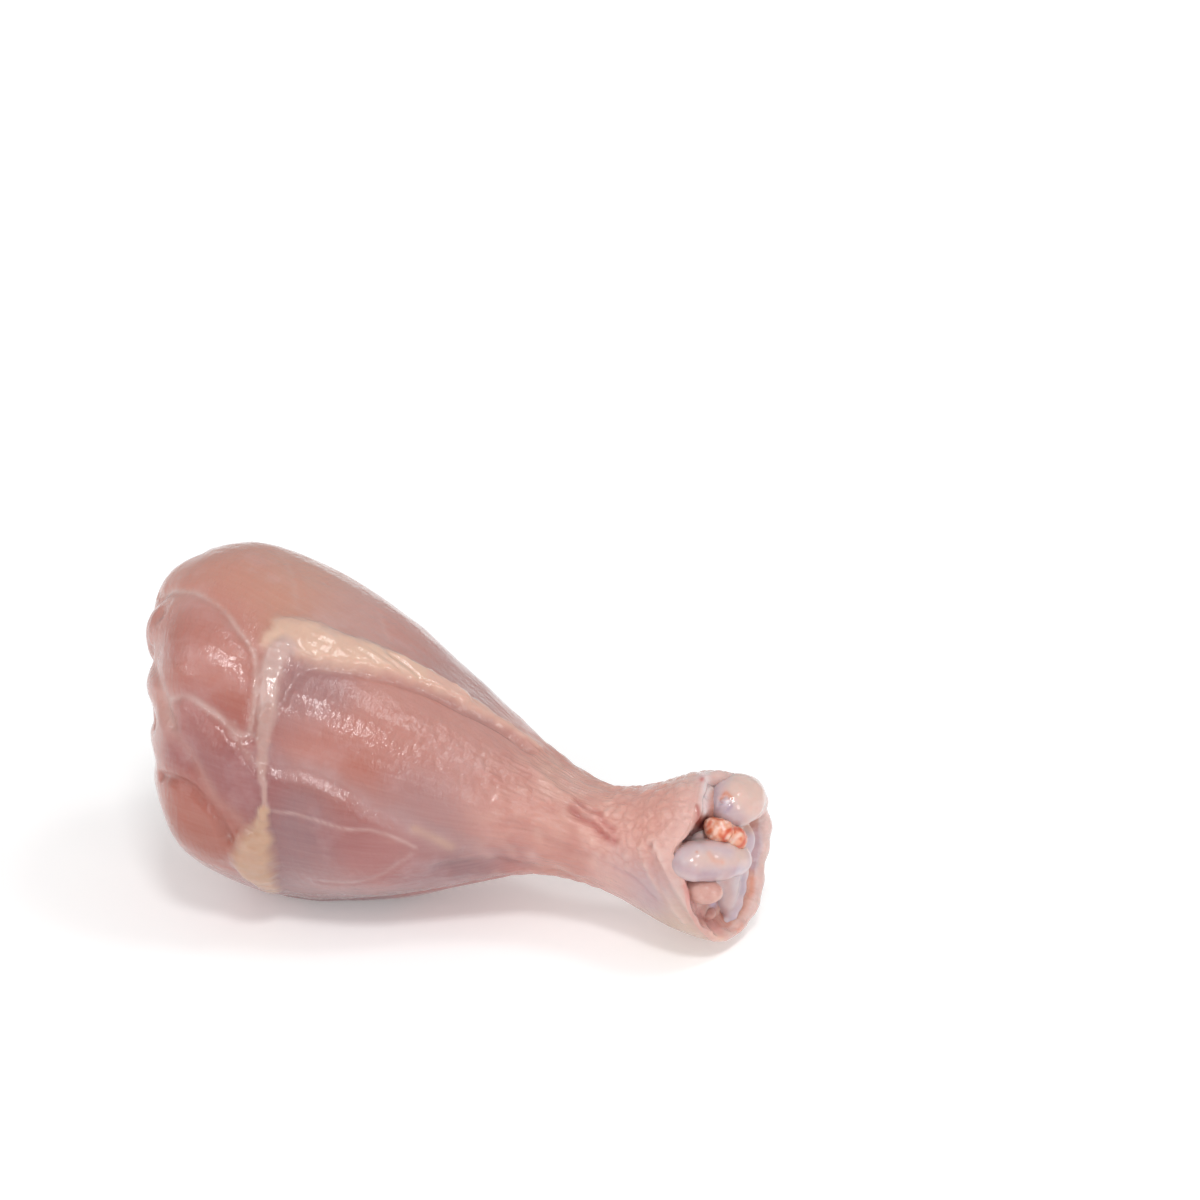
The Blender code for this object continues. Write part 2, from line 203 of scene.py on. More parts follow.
# %% [markdown]
# ## Drawing on the meat
# Seams and fat lie where the picture shows them, so each is a few named points. A point on the
# side that shows is a pixel, and a ray through that pixel finds the meat. A point on the hidden
# side is given on the chart. A smooth curve joins the points, and the distance from it says how
# deep a groove, or how high and pale a strip of fat, is at any place.

# %% Curves, distances and soft noise
CURVE_PIECES = 10


def curve_through(points):
    """A smooth curve through points that may carry widths or heights as well."""
    knots = np.array(points, float)
    ends = np.vstack([2 * knots[0] - knots[1], knots, 2 * knots[-1] - knots[-2]])
    t = np.linspace(0, 1, CURVE_PIECES, endpoint=False)[:, None]
    parts = [b + 0.5 * (c - a) * t + (a - 2.5 * b + 2 * c - 0.5 * d) * t**2
             + 0.5 * (3 * b - a - 3 * c + d) * t**3
             for a, b, c, d in zip(ends, ends[1:], ends[2:], ends[3:])]
    return np.vstack(parts + [knots[-1:]])


def touch(x, y):
    """Where the meat shows at a pixel of the picture, in mm, or None beside it."""
    hit = flesh_solid.ray_cast(camera_place * MM, pixel_direction(x, y))[0]
    return None if hit is None else np.array(hit) / MM


def seen(points):
    """A curve on the side that shows: pixel x and y, then whatever the points carry."""
    found = [(touch(x, y), carried) for x, y, *carried in curve_through(points)]
    return np.array([[*spot, *carried] for spot, carried in found if spot is not None])


def charted(points):
    """A curve anywhere on the leg: s and degrees round it, then whatever the points carry."""
    curve = curve_through(points)
    row = np.clip(((curve[:, 0] - LIP_START) / ROW_STEP).round().astype(int), 0, len(rows) - 1)
    turn = (curve[:, 1] / 360 * AROUND).round().astype(int) % AROUND
    return np.hstack([place[row, turn], curve[:, 2:]])


def away_from(line, reach=9.0):
    """Distance of every chart point from a line, and what the line's closest point carries."""
    flat = place.reshape(-1, 3)
    inside = (flat > line[:, :3].min(axis=0) - reach) & (flat < line[:, :3].max(axis=0) + reach)
    picked = np.flatnonzero(inside.all(axis=1))
    distance = np.full(len(flat), 1e3)
    carried = np.zeros((len(flat), line.shape[1] - 3))
    # A few thousand points at a time, which spares memory
    for part in np.array_split(picked, len(picked) // 10000 + 1):
        gaps = np.linalg.norm(flat[part, None] - line[:, :3], axis=-1)
        distance[part] = gaps.min(axis=1)
        carried[part] = line[gaps.argmin(axis=1), 3:]
    return distance.reshape(grid_s.shape), carried.reshape(*grid_s.shape, -1)


def soft_noise(points, size, where=None, seed=0.0):
    """Smooth noise from about -1 to 1, with lumps of a size in mm, only where it is wanted."""
    flat = points.reshape(-1, 3) / size + seed
    picked = np.arange(len(flat)) if where is None else np.flatnonzero(where.ravel() > 0.01)
    value = np.zeros(len(flat))
    value[picked] = [noise.noise(p) for p in flat[picked].tolist()]
    return value.reshape(points.shape[:-1])


# The chart rolled up as a straight tube, so that noise on it follows the leg without a seam
LEG_ROUND = 24.0
leg_space = np.stack([grid_s, LEG_ROUND * np.cos(grid_theta), LEG_ROUND * np.sin(grid_theta)],
                     axis=-1)


def stretched(along, across):
    """Leg coordinates squeezed, so that noise on them gives streaks along or across the leg."""
    return leg_space / np.array([along, across, across])


print("touch test, middle of the calf:", touch(400, 740).round(1))

# %% [markdown]
# ## Muscles that bulge
# A relaxed muscle swells between its seams like a filled pouch. Each could be sculpted with a
# brush, but a round swelling that is placed by a pixel of the picture can be checked against it
# and moved by its numbers. Every later step adds to the same height over the chart.

# %% Swellings
# Pixel x and y, reach in mm, height in mm
SEEN_SWELLINGS = (
    (205, 650, 8.5, 0.9), (222, 768, 5.5, 0.6), (205, 845, 7.0, 0.9), (400, 715, 11.0, 0.6),
    (310, 700, 5.0, 0.5), (375, 862, 9.0, 0.6), (150, 625, 3.5, 0.5), (150, 690, 3.0, 0.5),
)
height = np.zeros(grid_s.shape)
for x, y, reach, rise in SEEN_SWELLINGS:
    height += rise * np.exp(-(np.linalg.norm(place - touch(x, y), axis=-1) / reach) ** 2)
print("swellings:", len(SEEN_SWELLINGS), "highest:", height.max().round(2), "mm")

# %% [markdown]
# ## Colour of the muscles
# Each muscle of a drumstick has its own tone, from orange-salmon on the thin top ones to mauve
# where deep red muscle shows through the membrane. One colour with noise would look like dyed
# wax. The tones are laid on as soft round patches that melt into each other, as a painter would
# lay the first coat, and the result is kept on the points as a colour.

# %% The first coat
TONES = {
    "salmon": "D69D8B", "peach": "D8A48F", "rose": "C98F84", "orange": "B97262", "deep orange": "B06D5D",
    "mauve": "B47A78", "deep mauve": "A16465", "lilac": "B18989", "pale pink": "D2AAA3", "pink": "D29F95",
    "blush": "D7A195", "grey lilac": "99767B", "skin pink": "DFAA9D", "skin cream": "E0B9AB",
    "ankle lilac": "BFA9AF", "skin yellow": "BEA28A",
}

# Patches on the side that shows: pixel x and y, reach in mm, tone
SEEN_TONES = (
    (230, 560, 8, "salmon"), (300, 590, 8, "peach"), (350, 612, 6, "pale pink"), (175, 600, 5, "blush"),
    (175, 642, 5, "orange"), (205, 625, 6, "rose"), (235, 715, 5, "orange"), (228, 670, 4, "rose"),
    (195, 720, 4, "mauve"), (222, 752, 6, "deep mauve"), (250, 785, 5, "deep mauve"),
    (238, 770, 4, "deep mauve"), (190, 805, 4, "orange"), (205, 842, 6, "deep orange"),
    (222, 875, 5, "pink"), (150, 620, 4, "rose"),
    (150, 690, 5, "pink"), (165, 712, 3, "pale pink"), (150, 745, 4, "pink"), (155, 780, 4, "rose"),
    (300, 700, 5, "lilac"), (330, 690, 4, "lilac"), (390, 695, 6, "pink"), (400, 735, 7, "rose"),
    (355, 770, 7, "orange"), (320, 745, 5, "rose"), (480, 765, 6, "pink"), (440, 735, 5, "pink"),
    (440, 810, 6, "lilac"), (500, 800, 6, "blush"), (400, 790, 4, "lilac"),
    (380, 860, 6, "mauve"), (300, 850, 5, "grey lilac"), (310, 805, 4, "grey lilac"),
    (350, 830, 4, "deep mauve"), (440, 880, 6, "grey lilac"), (330, 885, 6, "lilac"),
    (290, 880, 4, "grey lilac"),
    (420, 640, 6, "rose"), (470, 680, 5, "pink"), (520, 720, 5, "blush"),
    (575, 780, 5, "skin cream"), (545, 830, 5, "skin pink"), (560, 862, 4, "pink"), (515, 850, 3, "mauve"),
    (620, 800, 5, "skin pink"), (660, 830, 5, "skin pink"), (620, 880, 4, "pale pink"),
    (648, 895, 4, "ankle lilac"), (690, 922, 4, "skin yellow"), (700, 870, 3, "pale pink"),
)
# Patches on the hidden side: s, degrees round, reach in mm, tone
HIDDEN_TONES = (
    (-10, 60, 9, "salmon"), (5, 60, 9, "peach"), (20, 60, 8, "pink"), (35, 60, 7, "lilac"),
    (0, 20, 10, "mauve"), (15, 15, 9, "rose"), (30, 10, 8, "orange"), (-12, 25, 8, "pink"),
    (5, 330, 10, "deep orange"), (20, 330, 9, "mauve"), (35, 340, 8, "pink"), (-12, 335, 8, "rose"),
    (0, 290, 10, "salmon"), (18, 290, 9, "grey lilac"), (35, 300, 8, "mauve"), (-15, 295, 8, "orange"),
    (0, 250, 9, "mauve"), (18, 250, 9, "grey lilac"), (36, 255, 7, "mauve"), (-15, 245, 7, "orange"),
    (48, 40, 6, "blush"), (48, 340, 6, "pink"), (48, 290, 6, "pink"), (60, 20, 6, "skin pink"),
    (62, 330, 6, "skin cream"), (60, 280, 6, "pale pink"), (72, 40, 6, "skin cream"),
    (74, 350, 6, "skin yellow"), (73, 300, 6, "skin cream"), (73, 250, 5, "skin yellow"),
)


def linear(hexadecimal):
    """A web colour as linear red, green and blue."""
    values = np.array([int(hexadecimal[i:i + 2], 16) / 255 for i in (0, 2, 4)])
    return np.where(values <= 0.04045, values / 12.92, ((values + 0.055) / 1.055) ** 2.4)


def first_coat():
    """Soft patches of tone that melt into each other."""
    spots = [(touch(x, y), reach, name) for x, y, reach, name in SEEN_TONES]
    spots += [(charted([(s, turn), (s, turn)])[0], reach, name) for s, turn, reach, name in HIDDEN_TONES]
    total = np.full(grid_s.shape, 1e-6)
    coat = total[..., None] * linear(TONES["rose"])
    for spot, reach, name in spots:
        if spot is not None:
            gaps = np.linalg.norm(place - spot, axis=-1)
            weight = np.exp(-(gaps / reach) ** 2)
            total += weight
            coat += weight[..., None] * linear(TONES[name])
    return coat / total[..., None]


tone = first_coat()


def veil_over(colours, mask, shade):
    """Lay a shade over colours in place, as thick as the mask says."""
    colours += mask[..., None] * (linear(shade) - colours)


def paint(mask, shade):
    """Lay a shade over the first coat."""
    veil_over(tone, np.clip(mask, 0, 1), shade)


print("patches:", len(SEEN_TONES) + len(HIDDEN_TONES))

# %% [markdown]
# ## Seams between the muscles
# Where two muscles meet, the membrane dips between them and shows as a soft white line, sharp
# in some places and veiled in others. Thin curves laid on top would look like threads, so each
# seam here sinks a groove in the height and paints a pale line in it.

# %% Seams
# Groove depth, groove half width, strength of the pale line, its half width, colour, then points
SEEN_SEAMS = {
    "over the oval": (0.45, 1.0, 0.85, 0.5, "E2CAC2",
                      ((147, 602), (160, 594), (180, 591), (199, 594), (222, 609), (238, 630),
                       (252, 650), (256, 669), (254, 700), (250, 730))),
    "oval and middle": (0.5, 1.0, 0.75, 0.6, "DFC6C0",
                        ((169, 700), (187, 696), (203, 705), (222, 719), (238, 733), (252, 735))),
    "middle at the right": (0.3, 1.0, 0.5, 0.9, "D2B0A8",
                            ((232, 731), (240, 742), (249, 756), (259, 768))),
    "middle at the left": (0.6, 1.2, 0.55, 1.0, "CFA398",
                           ((160, 700), (167, 714), (176, 737), (194, 760), (208, 786), (217, 802),
                            (233, 815), (247, 832))),
    "left rim": (0.5, 1.1, 0.5, 0.9, "DCBFB8", ((144, 650), (158, 678), (164, 701), (169, 724))),
    "in the band": (0.35, 0.5, 0.5, 0.45, "C2988C", ((385, 656), (394, 662), (404, 669), (415, 680))),
    "low cleft": (0.85, 0.9, 0.45, 0.7, "A8564A",
                  ((161, 776), (176, 780), (192, 788), (206, 803), (218, 818), (230, 838))),
    "calf edge": (0.8, 1.7, 0.6, 1.8, "C8ABAC",
                  ((264, 752), (271, 764), (309, 771), (344, 788), (368, 804), (396, 818), (429, 835),
                   (462, 847), (486, 856), (500, 861))),
    "thin white": (0.15, 0.6, 0.75, 0.32, "D8BDB8",
                   ((268, 811), (290, 813), (309, 818), (344, 828), (373, 830), (401, 840), (415, 847))),
    "arc below": (0.15, 0.6, 0.5, 0.35, "C9A8A4",
                  ((412, 853), (396, 863), (377, 875), (351, 882), (321, 881))),
    "yellow streak": (-0.12, 1.0, 0.5, 0.7, "DDBE9F", ((415, 830), (426, 835), (440, 842), (452, 848))),
    "pale on top": (0.12, 0.8, 0.5, 0.7, "DCB7AA", ((288, 563), (295, 586), (298, 607))),
    "pale by the band": (0.1, 0.8, 0.5, 0.6, "D9B3AA", ((380, 613), (389, 641))),
    "under the band": (0.7, 0.9, 0.35, 0.9, "BE9592",
                       ((284, 700), (290, 686), (309, 669), (344, 671), (373, 677), (401, 685),
                        (429, 695), (462, 711), (495, 726), (530, 750))),
    "end of the belly": (0.8, 1.3, 0.25, 1.2, "9A7A80", ((440, 868), (470, 866), (506, 866), (530, 868))),
}
HIDDEN_SEAMS = {
    "top back": (0.7, 1.4, 0.55, 1.0, "D8B8AE",
                 ((-22, 70), (-6, 62), (6, 48), (18, 36), (32, 28), (46, 24))),
    "back": (0.9, 1.3, 0.5, 1.2, "CFAEA8",
             ((-20, 5), (-4, 356), (10, 345), (24, 332), (38, 322), (50, 318))),
    "low back": (0.8, 1.3, 0.45, 1.0, "CDAAA4", ((-20, 303), (-4, 296), (8, 290), (22, 283), (34, 280))),
    "under front": (0.5, 1.3, 0.4, 1.0, "C7A29E", ((-20, 230), (-5, 240), (12, 243), (30, 240), (46, 235))),
    "thin at the back": (0.1, 0.6, 0.6, 0.35, "DABDB5", ((4, 352), (14, 0), (26, 8), (38, 10))),
}


def cut_seams():
    """Sink the grooves and paint the pale lines in them."""
    lines = [(values, seen(values[5])) for values in SEEN_SEAMS.values()]
    lines += [(values, charted(values[5])) for values in HIDDEN_SEAMS.values()]
    uneven = 0.75 + 0.45 * soft_noise(place, 3.2, seed=4.0)
    for (depth, half, strength, line_half, colour, _), line in lines:
        distance, _ = away_from(line)
        height[:] -= depth * np.exp(-(distance / half) ** 2)
        paint(strength * uneven * np.exp(-(distance / line_half) ** 2), colour)


cut_seams()
print("seams:", len(SEEN_SEAMS) + len(HIDDEN_SEAMS))

# %% [markdown]
# ## Fat and white connective tissue
# The cream band along the shin, the strip down the front and the pad at its foot stand a
# millimetre proud, with soft lumpy edges. They could be objects of their own, but real fat grows
# out of the membrane without a gap, so they are raised on the same surface and painted.

# %% Fat
# Colour, then pixel x and y, half width, height
SEEN_FAT = {
    "band": ("E2C0AE", ((276, 642, 2.6, 0.7), (288, 634, 3.9, 0.9), (304, 638, 4.1, 1.0),
                        (322, 645, 3.9, 1.0), (338, 650, 3.7, 1.0), (362, 655, 3.2, 0.9),
                        (390, 664, 2.8, 0.9), (416, 675, 2.3, 0.9), (440, 687, 1.9, 0.7),
                        (462, 699, 1.3, 0.5))),
    "band end": ("DDB5A9", ((430, 680, 1.6, 0.2), (450, 691, 1.9, 0.4), (470, 703, 1.8, 0.5),
                            (492, 716, 1.3, 0.5), (515, 730, 0.9, 0.4), (540, 747, 0.6, 0.3))),
    "front strip": ("CEB2AF", ((284, 650, 2.0, 0.5), (274, 662, 2.0, 0.5), (269, 680, 1.9, 0.5),
                               (267, 700, 1.9, 0.5), (267, 715, 1.7, 0.45))),
    "lower strip": ("BC9994", ((267, 715, 1.6, 0.45), (263, 738, 1.2, 0.4), (262, 756, 0.9, 0.4),
                               (263, 780, 0.7, 0.4), (265, 800, 0.6, 0.4), (264, 815, 0.8, 0.4))),
    "lower pad": ("C3A087", ((264, 808, 0.6, 0.4), (262, 822, 1.5, 0.7), (258, 837, 2.7, 1.0),
                             (254, 852, 3.4, 1.1), (254, 866, 3.4, 1.0), (261, 879, 2.6, 0.8),
                             (272, 891, 1.5, 0.4))),
}
# Colour, then s and degrees round the leg, half width, height
HIDDEN_FAT = {
    "knee back": ("E0C0AC", ((-24, 20, 2.2, 0.9), (-19, 18, 3.0, 1.2), (-13, 12, 3.4, 1.3),
                             (-6, 8, 2.8, 1.0), (2, 6, 1.6, 0.6), (10, 8, 0.8, 0.3))),
    "long back": ("D3B2A2", ((30, 324, 0.6, 0.3), (37, 320, 1.3, 0.5), (44, 316, 1.5, 0.5),
                             (51, 314, 0.8, 0.3))),
    "knee top": ("DDBCAA", ((-30, 96, 2.5, 0.7), (-27, 88, 3.0, 0.9), (-26, 74, 2.4, 0.7),
                            (-28, 62, 1.4, 0.4))),
}
RAGGED_EDGE = 0.45
FAT_LUMPS = 0.14
FAT_STREAKS = 0.2
FAT_COVER = 0.94


def lay_fat():
    """Raise and paint the fat; returns where it is."""
    lines = [(colour, seen(points)) for colour, points in SEEN_FAT.values()]
    lines += [(colour, charted(points)) for colour, points in HIDDEN_FAT.values()]
    ragged = soft_noise(place, 1.7, seed=9.0)
    lumps = soft_noise(place, 1.3, seed=2.0)
    streaks = soft_noise(stretched(6.0, 0.8), 1.0, seed=5.0)
    all_fat = np.zeros(grid_s.shape)
    for colour, line in lines:
        distance, carried = away_from(line)
        half, rise = carried[..., 0] + 1e-3, carried[..., 1]
        inside = smooth_step(1.3, 0.45, (distance + RAGGED_EDGE * ragged) / half)
        height[:] += rise * inside * (1 + FAT_LUMPS * lumps + FAT_STREAKS * streaks)
        paint(FAT_COVER * inside, colour)
        all_fat[:] = np.maximum(all_fat, inside)
    return all_fat


fat = lay_fat()
print("share of the surface with fat:", fat.mean().round(3))

# %% [markdown]
# ## The knee: muscle ends and clefts
# At the cut knee the muscles end in a ring of rounded lobes with clefts between them. The solid
# has the lobes, with clefts that stop short in round dimples. Separate muscles could be modelled
# and packed together, but clefts that are cut into the one surface run out softly into the meat,
# and a little filling turns each dimple into the end of a fold.

# %% Clefts at the knee
# Degrees round the leg, depth in mm, s where the cleft ends, filling of its dimple in mm
KNEE_CLEFTS = ((112, 0.8, -15, 0), (136, 0.8, -15, 0), (158, 0.7, -15, 0), (181, 0.9, -15, 0),
               (207, 0.7, -15, 0),
               (240, 1.0, -12, 0.5), (273, 0.5, -22, 0.6), (306, 1.0, -13, 0.6), (338, 0.4, -24, 0.6),
               (8, 0.9, -16, 0.6), (43, 0.6, -21, 0.5), (82, 0.5, -20, 0.4))


def cut_knee_clefts():
    """Fine grooves that run into the open knee, with a pale line in each."""
    for number, (angle, depth, end, filling) in enumerate(KNEE_CLEFTS):
        wander = 7 * math.sin(2.3 * number)
        line = charted([(-31.5, angle + wander), (-28, angle + wander / 2), (-24, angle),
                        (end, angle - wander)])
        distance, _ = away_from(line)
        dimple, _ = away_from(charted([(-23, angle), (-20, angle), (-17, angle), (-15, angle)]))
        height[:] += filling * smooth_step(-25, -19, grid_s) * np.exp(-(dimple / 1.7) ** 2)
        fade = smooth_step(end + 1, end - 6, grid_s)
        height[:] -= depth * fade * np.exp(-(distance / 1.1) ** 2)
        paint(0.35 * fade * np.exp(-(distance / 0.7) ** 2), "D8B6B0")
    height[:] *= smooth_step(LIP_START - 1.5, LIP_START + 3, grid_s)


cut_knee_clefts()
print("clefts:", len(KNEE_CLEFTS))

# %% [markdown]
# ## Wrinkles and strands
# The wet membrane wrinkles where the meat is squeezed, above all across the calf and the oval,
# and gathers into strands towards the neck. These could be bump in the material alone, but then
# the outline would stay smooth, so the larger ones are in the mesh, and only what is finer than
# the distance between two points is left to bump.

# %% Wrinkles and strands
# Patches of wrinkles: pixel x and y, reach, height, and whether they run across the leg
WRINKLES = (
    (226, 668, 4.6, 0.20, False), (300, 698, 4.5, 0.24, True), (325, 708, 4.0, 0.20, True),
    (430, 738, 5.0, 0.22, True), (490, 770, 5.5, 0.24, True), (540, 800, 4.5, 0.24, True),
    (390, 760, 6.0, 0.10, True), (272, 680, 3.5, 0.18, True), (205, 805, 3.5, 0.22, False),
    (400, 870, 7.0, 0.08, False), (250, 740, 3.0, 0.14, False), (455, 815, 5.0, 0.14, True),
)
# Strands and grooves of the neck: half width, rise, colour, strength, then pixels
STRANDS = (
    # The first strand is raised, and its pale colour is partly a painted highlight along the ridge
    (0.8, 0.35, "E2B7AB", 0.4, ((530, 768), (543, 778), (556, 790), (566, 797), (575, 806))),
    (0.7, -0.5, "B4554E", 0.75, ((572, 808), (580, 817), (592, 822), (602, 834), (613, 841))),
    (0.6, 0.3, "DDAEA4", 0.5, ((574, 806), (588, 813), (601, 824), (612, 834))),
    (0.6, -0.35, "BC665F", 0.6, ((577, 801), (587, 810), (598, 813), (604, 823), (613, 830))),
    (0.8, 0.3, "E0B4A6", 0.4, ((560, 815), (574, 826), (590, 838), (606, 850))),
    (0.9, 0.25, "DDB0A4", 0.3, ((500, 800), (520, 812), (545, 822), (566, 836))),
    (0.8, -0.25, "C08A82", 0.35, ((510, 822), (535, 832), (560, 845), (590, 858))),
    (0.5, 0.28, "E6CCC4", 0.5, ((655, 842), (664, 866), (679, 892), (700, 922), (716, 940))),
    (0.5, -0.25, "B98C86", 0.5, ((650, 846), (658, 868), (672, 894), (692, 924), (708, 942))),
    (0.5, 0.22, "E3C8BC", 0.4, ((640, 850), (650, 874), (665, 898), (684, 922))),
    (0.5, -0.22, "BE9088", 0.4, ((652, 862), (660, 890), (668, 905))),
    (0.4, -0.2, "B08A92", 0.4, ((615, 868), (636, 880), (655, 900))),
)
# Heights of the unevenness that the membrane has all over, and of the gathered neck
LONG_WAVES = 0.05
SOFT_LUMPS = 0.10
NECK_LUMPS = 0.22
NECK_FOLDS = 0.14


def wrinkle():
    """Squeezed membrane, in folds across the leg or in small dimples."""
    for x, y, reach, rise, across in WRINKLES:
        gaps = np.linalg.norm(place - touch(x, y), axis=-1)
        fade = np.exp(-(gaps / reach) ** 2)
        folds = stretched(0.55, 2.2) if across else place / 0.75
        height[:] += rise * fade * soft_noise(folds, 1.0, fade, seed=x)


def gather_strands():
    """The strands and grooves of the neck."""
    for half, rise, colour, strength, points in STRANDS:
        distance, _ = away_from(seen(points))
        profile = np.exp(-(distance / half) ** 2)
        height[:] += rise * profile
        paint(strength * profile, colour)


def make_uneven():
    """Soft waves and lumps everywhere, which are stronger and mottled at the neck."""
    height[:] += LONG_WAVES * soft_noise(stretched(5.0, 1.6), 1.0, seed=12.0)
    height[:] += SOFT_LUMPS * soft_noise(place, 4.5, seed=20.0)
    neck = smooth_step(38, 52, grid_s) * smooth_step(70, 60, grid_s)
    height[:] += neck * NECK_LUMPS * soft_noise(place, 1.9, neck, seed=31.0)
    height[:] += neck * NECK_FOLDS * soft_noise(stretched(3.4, 1.0), 1.0, neck, seed=37.0)
    mottle = soft_noise(place, 2.4, neck, seed=41.0)
    paint(neck * smooth_step(0.05, 0.5, mottle) * 0.35, "E3BEB1")
    paint(neck * smooth_step(0.1, 0.5, -mottle) * 0.25, "C58279")


wrinkle()
gather_strands()
make_uneven()
print("relief from", height.min().round(2), "to", height.max().round(2), "mm")

# %% [markdown]
# ## Pebbled skin
# Every plucked feather leaves a small rounded pebble with fine creases round it. Scattered balls
# would look like beads, while the distance between the two closest seeds of a cell pattern is
# high in the middle of each cell and 0 on its border, which is the pebble's own shape.

# %% The cuff of skin
PEBBLE = 1.9
PEBBLE_HEIGHT = 0.23


def pebbles():
    """Rounded pebbles with fine creases between them, on the cuff of skin."""
    skin = smooth_step(57, 63, grid_s + 2.5 * soft_noise(place, 5.0, seed=51.0))
    turn = np.degrees(grid_theta)
    smooth_side = smooth_step(172, 188, turn) * smooth_step(300, 270, turn)
    skin_relief = skin * (1 - 0.8 * smooth_side)
    value = np.zeros(grid_s.size)
    picked = np.flatnonzero(skin_relief.ravel() > 0.02)
    warped = place / PEBBLE + 0.35 * soft_noise(place, 2.0, skin_relief, seed=60.0)[..., None]
    for number, spot in zip(picked, warped.reshape(-1, 3)[picked].tolist()):
        first, second = noise.voronoi(spot)[0][:2]
        value[number] = second - first
    value = value.reshape(grid_s.shape)
    crease = smooth_step(0.22, 0.0, value) * skin_relief
    height[:] += skin_relief * PEBBLE_HEIGHT * smooth_step(0.0, 0.7, value)
    paint(0.30 * crease, "C98A80")
    paint(0.22 * skin_relief * smooth_step(0.3, 0.7, value), "EACBC1")
    return skin


skin = pebbles()
print("share with skin:", skin.mean().round(3))

# %% [markdown]
# ## Rolling in both ends
# The rows of the chart become rings of points. Flat caps would close them, but both cut ends show
# the inside: past the last row the skin rolls over the rim and down into the socket round the
# bone, and past the first row the meat turns in round the cartilage. A hidden channel along the
# bone joins the two, so that the piece is one closed body.

# %% Rims, sockets and the hidden channel
normals = np.cross(np.gradient(place, axis=0), np.roll(place, -1, axis=1) - np.roll(place, 1, axis=1))
normals /= np.linalg.norm(normals, axis=-1, keepdims=True)
if (normals * outward).sum() < 0:
    normals = -normals
skin_surface = place + normals * height[..., None]


def ring(s, y, z, radius_y, radius_z):
    """A plain oval ring round the bone, with a point for each turn of the chart."""
    middle, _ = chart_rays(np.full(AROUND, float(s)), turns)
    return np.stack([middle[:, 0], THICK_MIDDLE[1] + y + radius_y * np.cos(turns),
                     middle[:, 2] + z + radius_z * np.sin(turns)], axis=-1)


# The lip of the ankle: degrees round the leg, half thickness, level of the socket floor (s)
ANKLE_LIP = ((0, 1.2, 81.2), (50, 1.2, 81.3), (85, 1.0, 79.8), (100, 1.0, 78.6), (118, 0.9, 77.4),
             (131, 0.6, 76.0), (138, 0.5, 72.4), (144, 0.4, 75.6), (152, 0.35, 76.2), (175, 0.4, 76.8),
             (205, 0.45, 77.0), (235, 0.6, 78.0), (270, 0.8, 79.4), (320, 1.1, 80.8), (360, 1.2, 81.2))
# How far each row of the ankle's lip has rolled over
LIP_TURNS = np.radians((15, 35, 60, 85, 110, 135, 160))
FLOOR_STEPS = 18
# Where the floor of the ankle's socket meets the bone
BONE_END = 77.4
# The lip of the knee: share of the way in to the bone, share of the way along to it, push along
KNEE_LIP = ((0.04, 0.0, -0.30), (0.10, 0.0, -0.42), (0.17, 0.02, -0.36), (0.24, 0.08, 0.0),
            (0.31, 0.20, 0.5), (0.40, 0.45, 0.9), (0.50, 0.7, 0.8), (0.62, 0.85, 0.6),
            (0.75, 0.92, 0.4), (0.88, 0.97, 0.2), (1.0, 1.0, 0.0))
# The hidden channel: s, rise of its middle, half width, half height
HIDDEN_CHANNEL = ((73, 0, 5.0, 6.2), (67, 0, 5.0, 6.0), (58, 0, 4.8, 5.0), (40, 0, 4.5, 4.5),
                  (18, 0, 4.5, 4.5), (6, 0.4, 5.0, 5.0), (0, 1.2, 5.4, 5.4))


def ankle_end():
    """Rings that roll over the cut rim and cross the socket to the bone."""
    angle, half, level = zip(*ANKLE_LIP)
    wobble = 1 + 0.3 * np.sin(5 * turns + 1) * np.sin(11 * turns)
    half = (wobble * np.interp(np.degrees(turns), angle, half))[:, None]
    level = np.interp(np.degrees(turns), angle, level)
    onward = place[-1] - place[-9]
    onward /= np.linalg.norm(onward, axis=1)[:, None]
    inwards = -normals[-1] + onward * (normals[-1] * onward).sum(axis=1)[:, None]
    inwards /= np.linalg.norm(inwards, axis=1)[:, None]
    edge = skin_surface[-1]
    lip = [edge + half * (onward * math.sin(turn) + inwards * (1 - math.cos(turn))) for turn in LIP_TURNS]
    inner = ring(BONE_END, y=0.0, z=0.2, radius_y=4.9, radius_z=6.0)
    floor_rows = []
    for share in np.linspace(0.05, 1, FLOOR_STEPS):
        across = lip[-1] + share * (inner - lip[-1])
        sunk = level + THICK_MIDDLE[0] - lip[-1][:, 0]
        across[:, 0] = lip[-1][:, 0] + smooth_step(-0.1, 0.4, share) * sunk
        floor_rows.append(across)
    return lip + floor_rows


def knee_end():
    """Rings that turn in from the ring of muscle ends to the cartilage."""
    edge = skin_surface[0]
    inner = ring(-8.0, y=0.0, z=1.9, radius_y=5.6, radius_z=5.8)
    return [edge + inward_share * (inner - edge) * np.array([0, 1, 1])
            + np.stack([along_share * (inner[:, 0] - edge[:, 0]) + push, 0 * turns, 0 * turns], axis=-1)
            for inward_share, along_share, push in KNEE_LIP]


ankle_rows = ankle_end()
knee_rows = knee_end()
channel_rows = [ring(s, 0, z, radius_y, radius_z) for s, z, radius_y, radius_z in HIDDEN_CHANNEL]
print("rows past the ankle:", len(ankle_rows), "past the knee:", len(knee_rows))

# %% [markdown]
# ## Inside the rims
# The turned-in rows don't show muscle: they show the damp lining of the socket, shreds of tissue
# and torn membrane. A second material could cover them, but its border would show as a hard line.
# So lumps and colours run on over the rim on the same points.

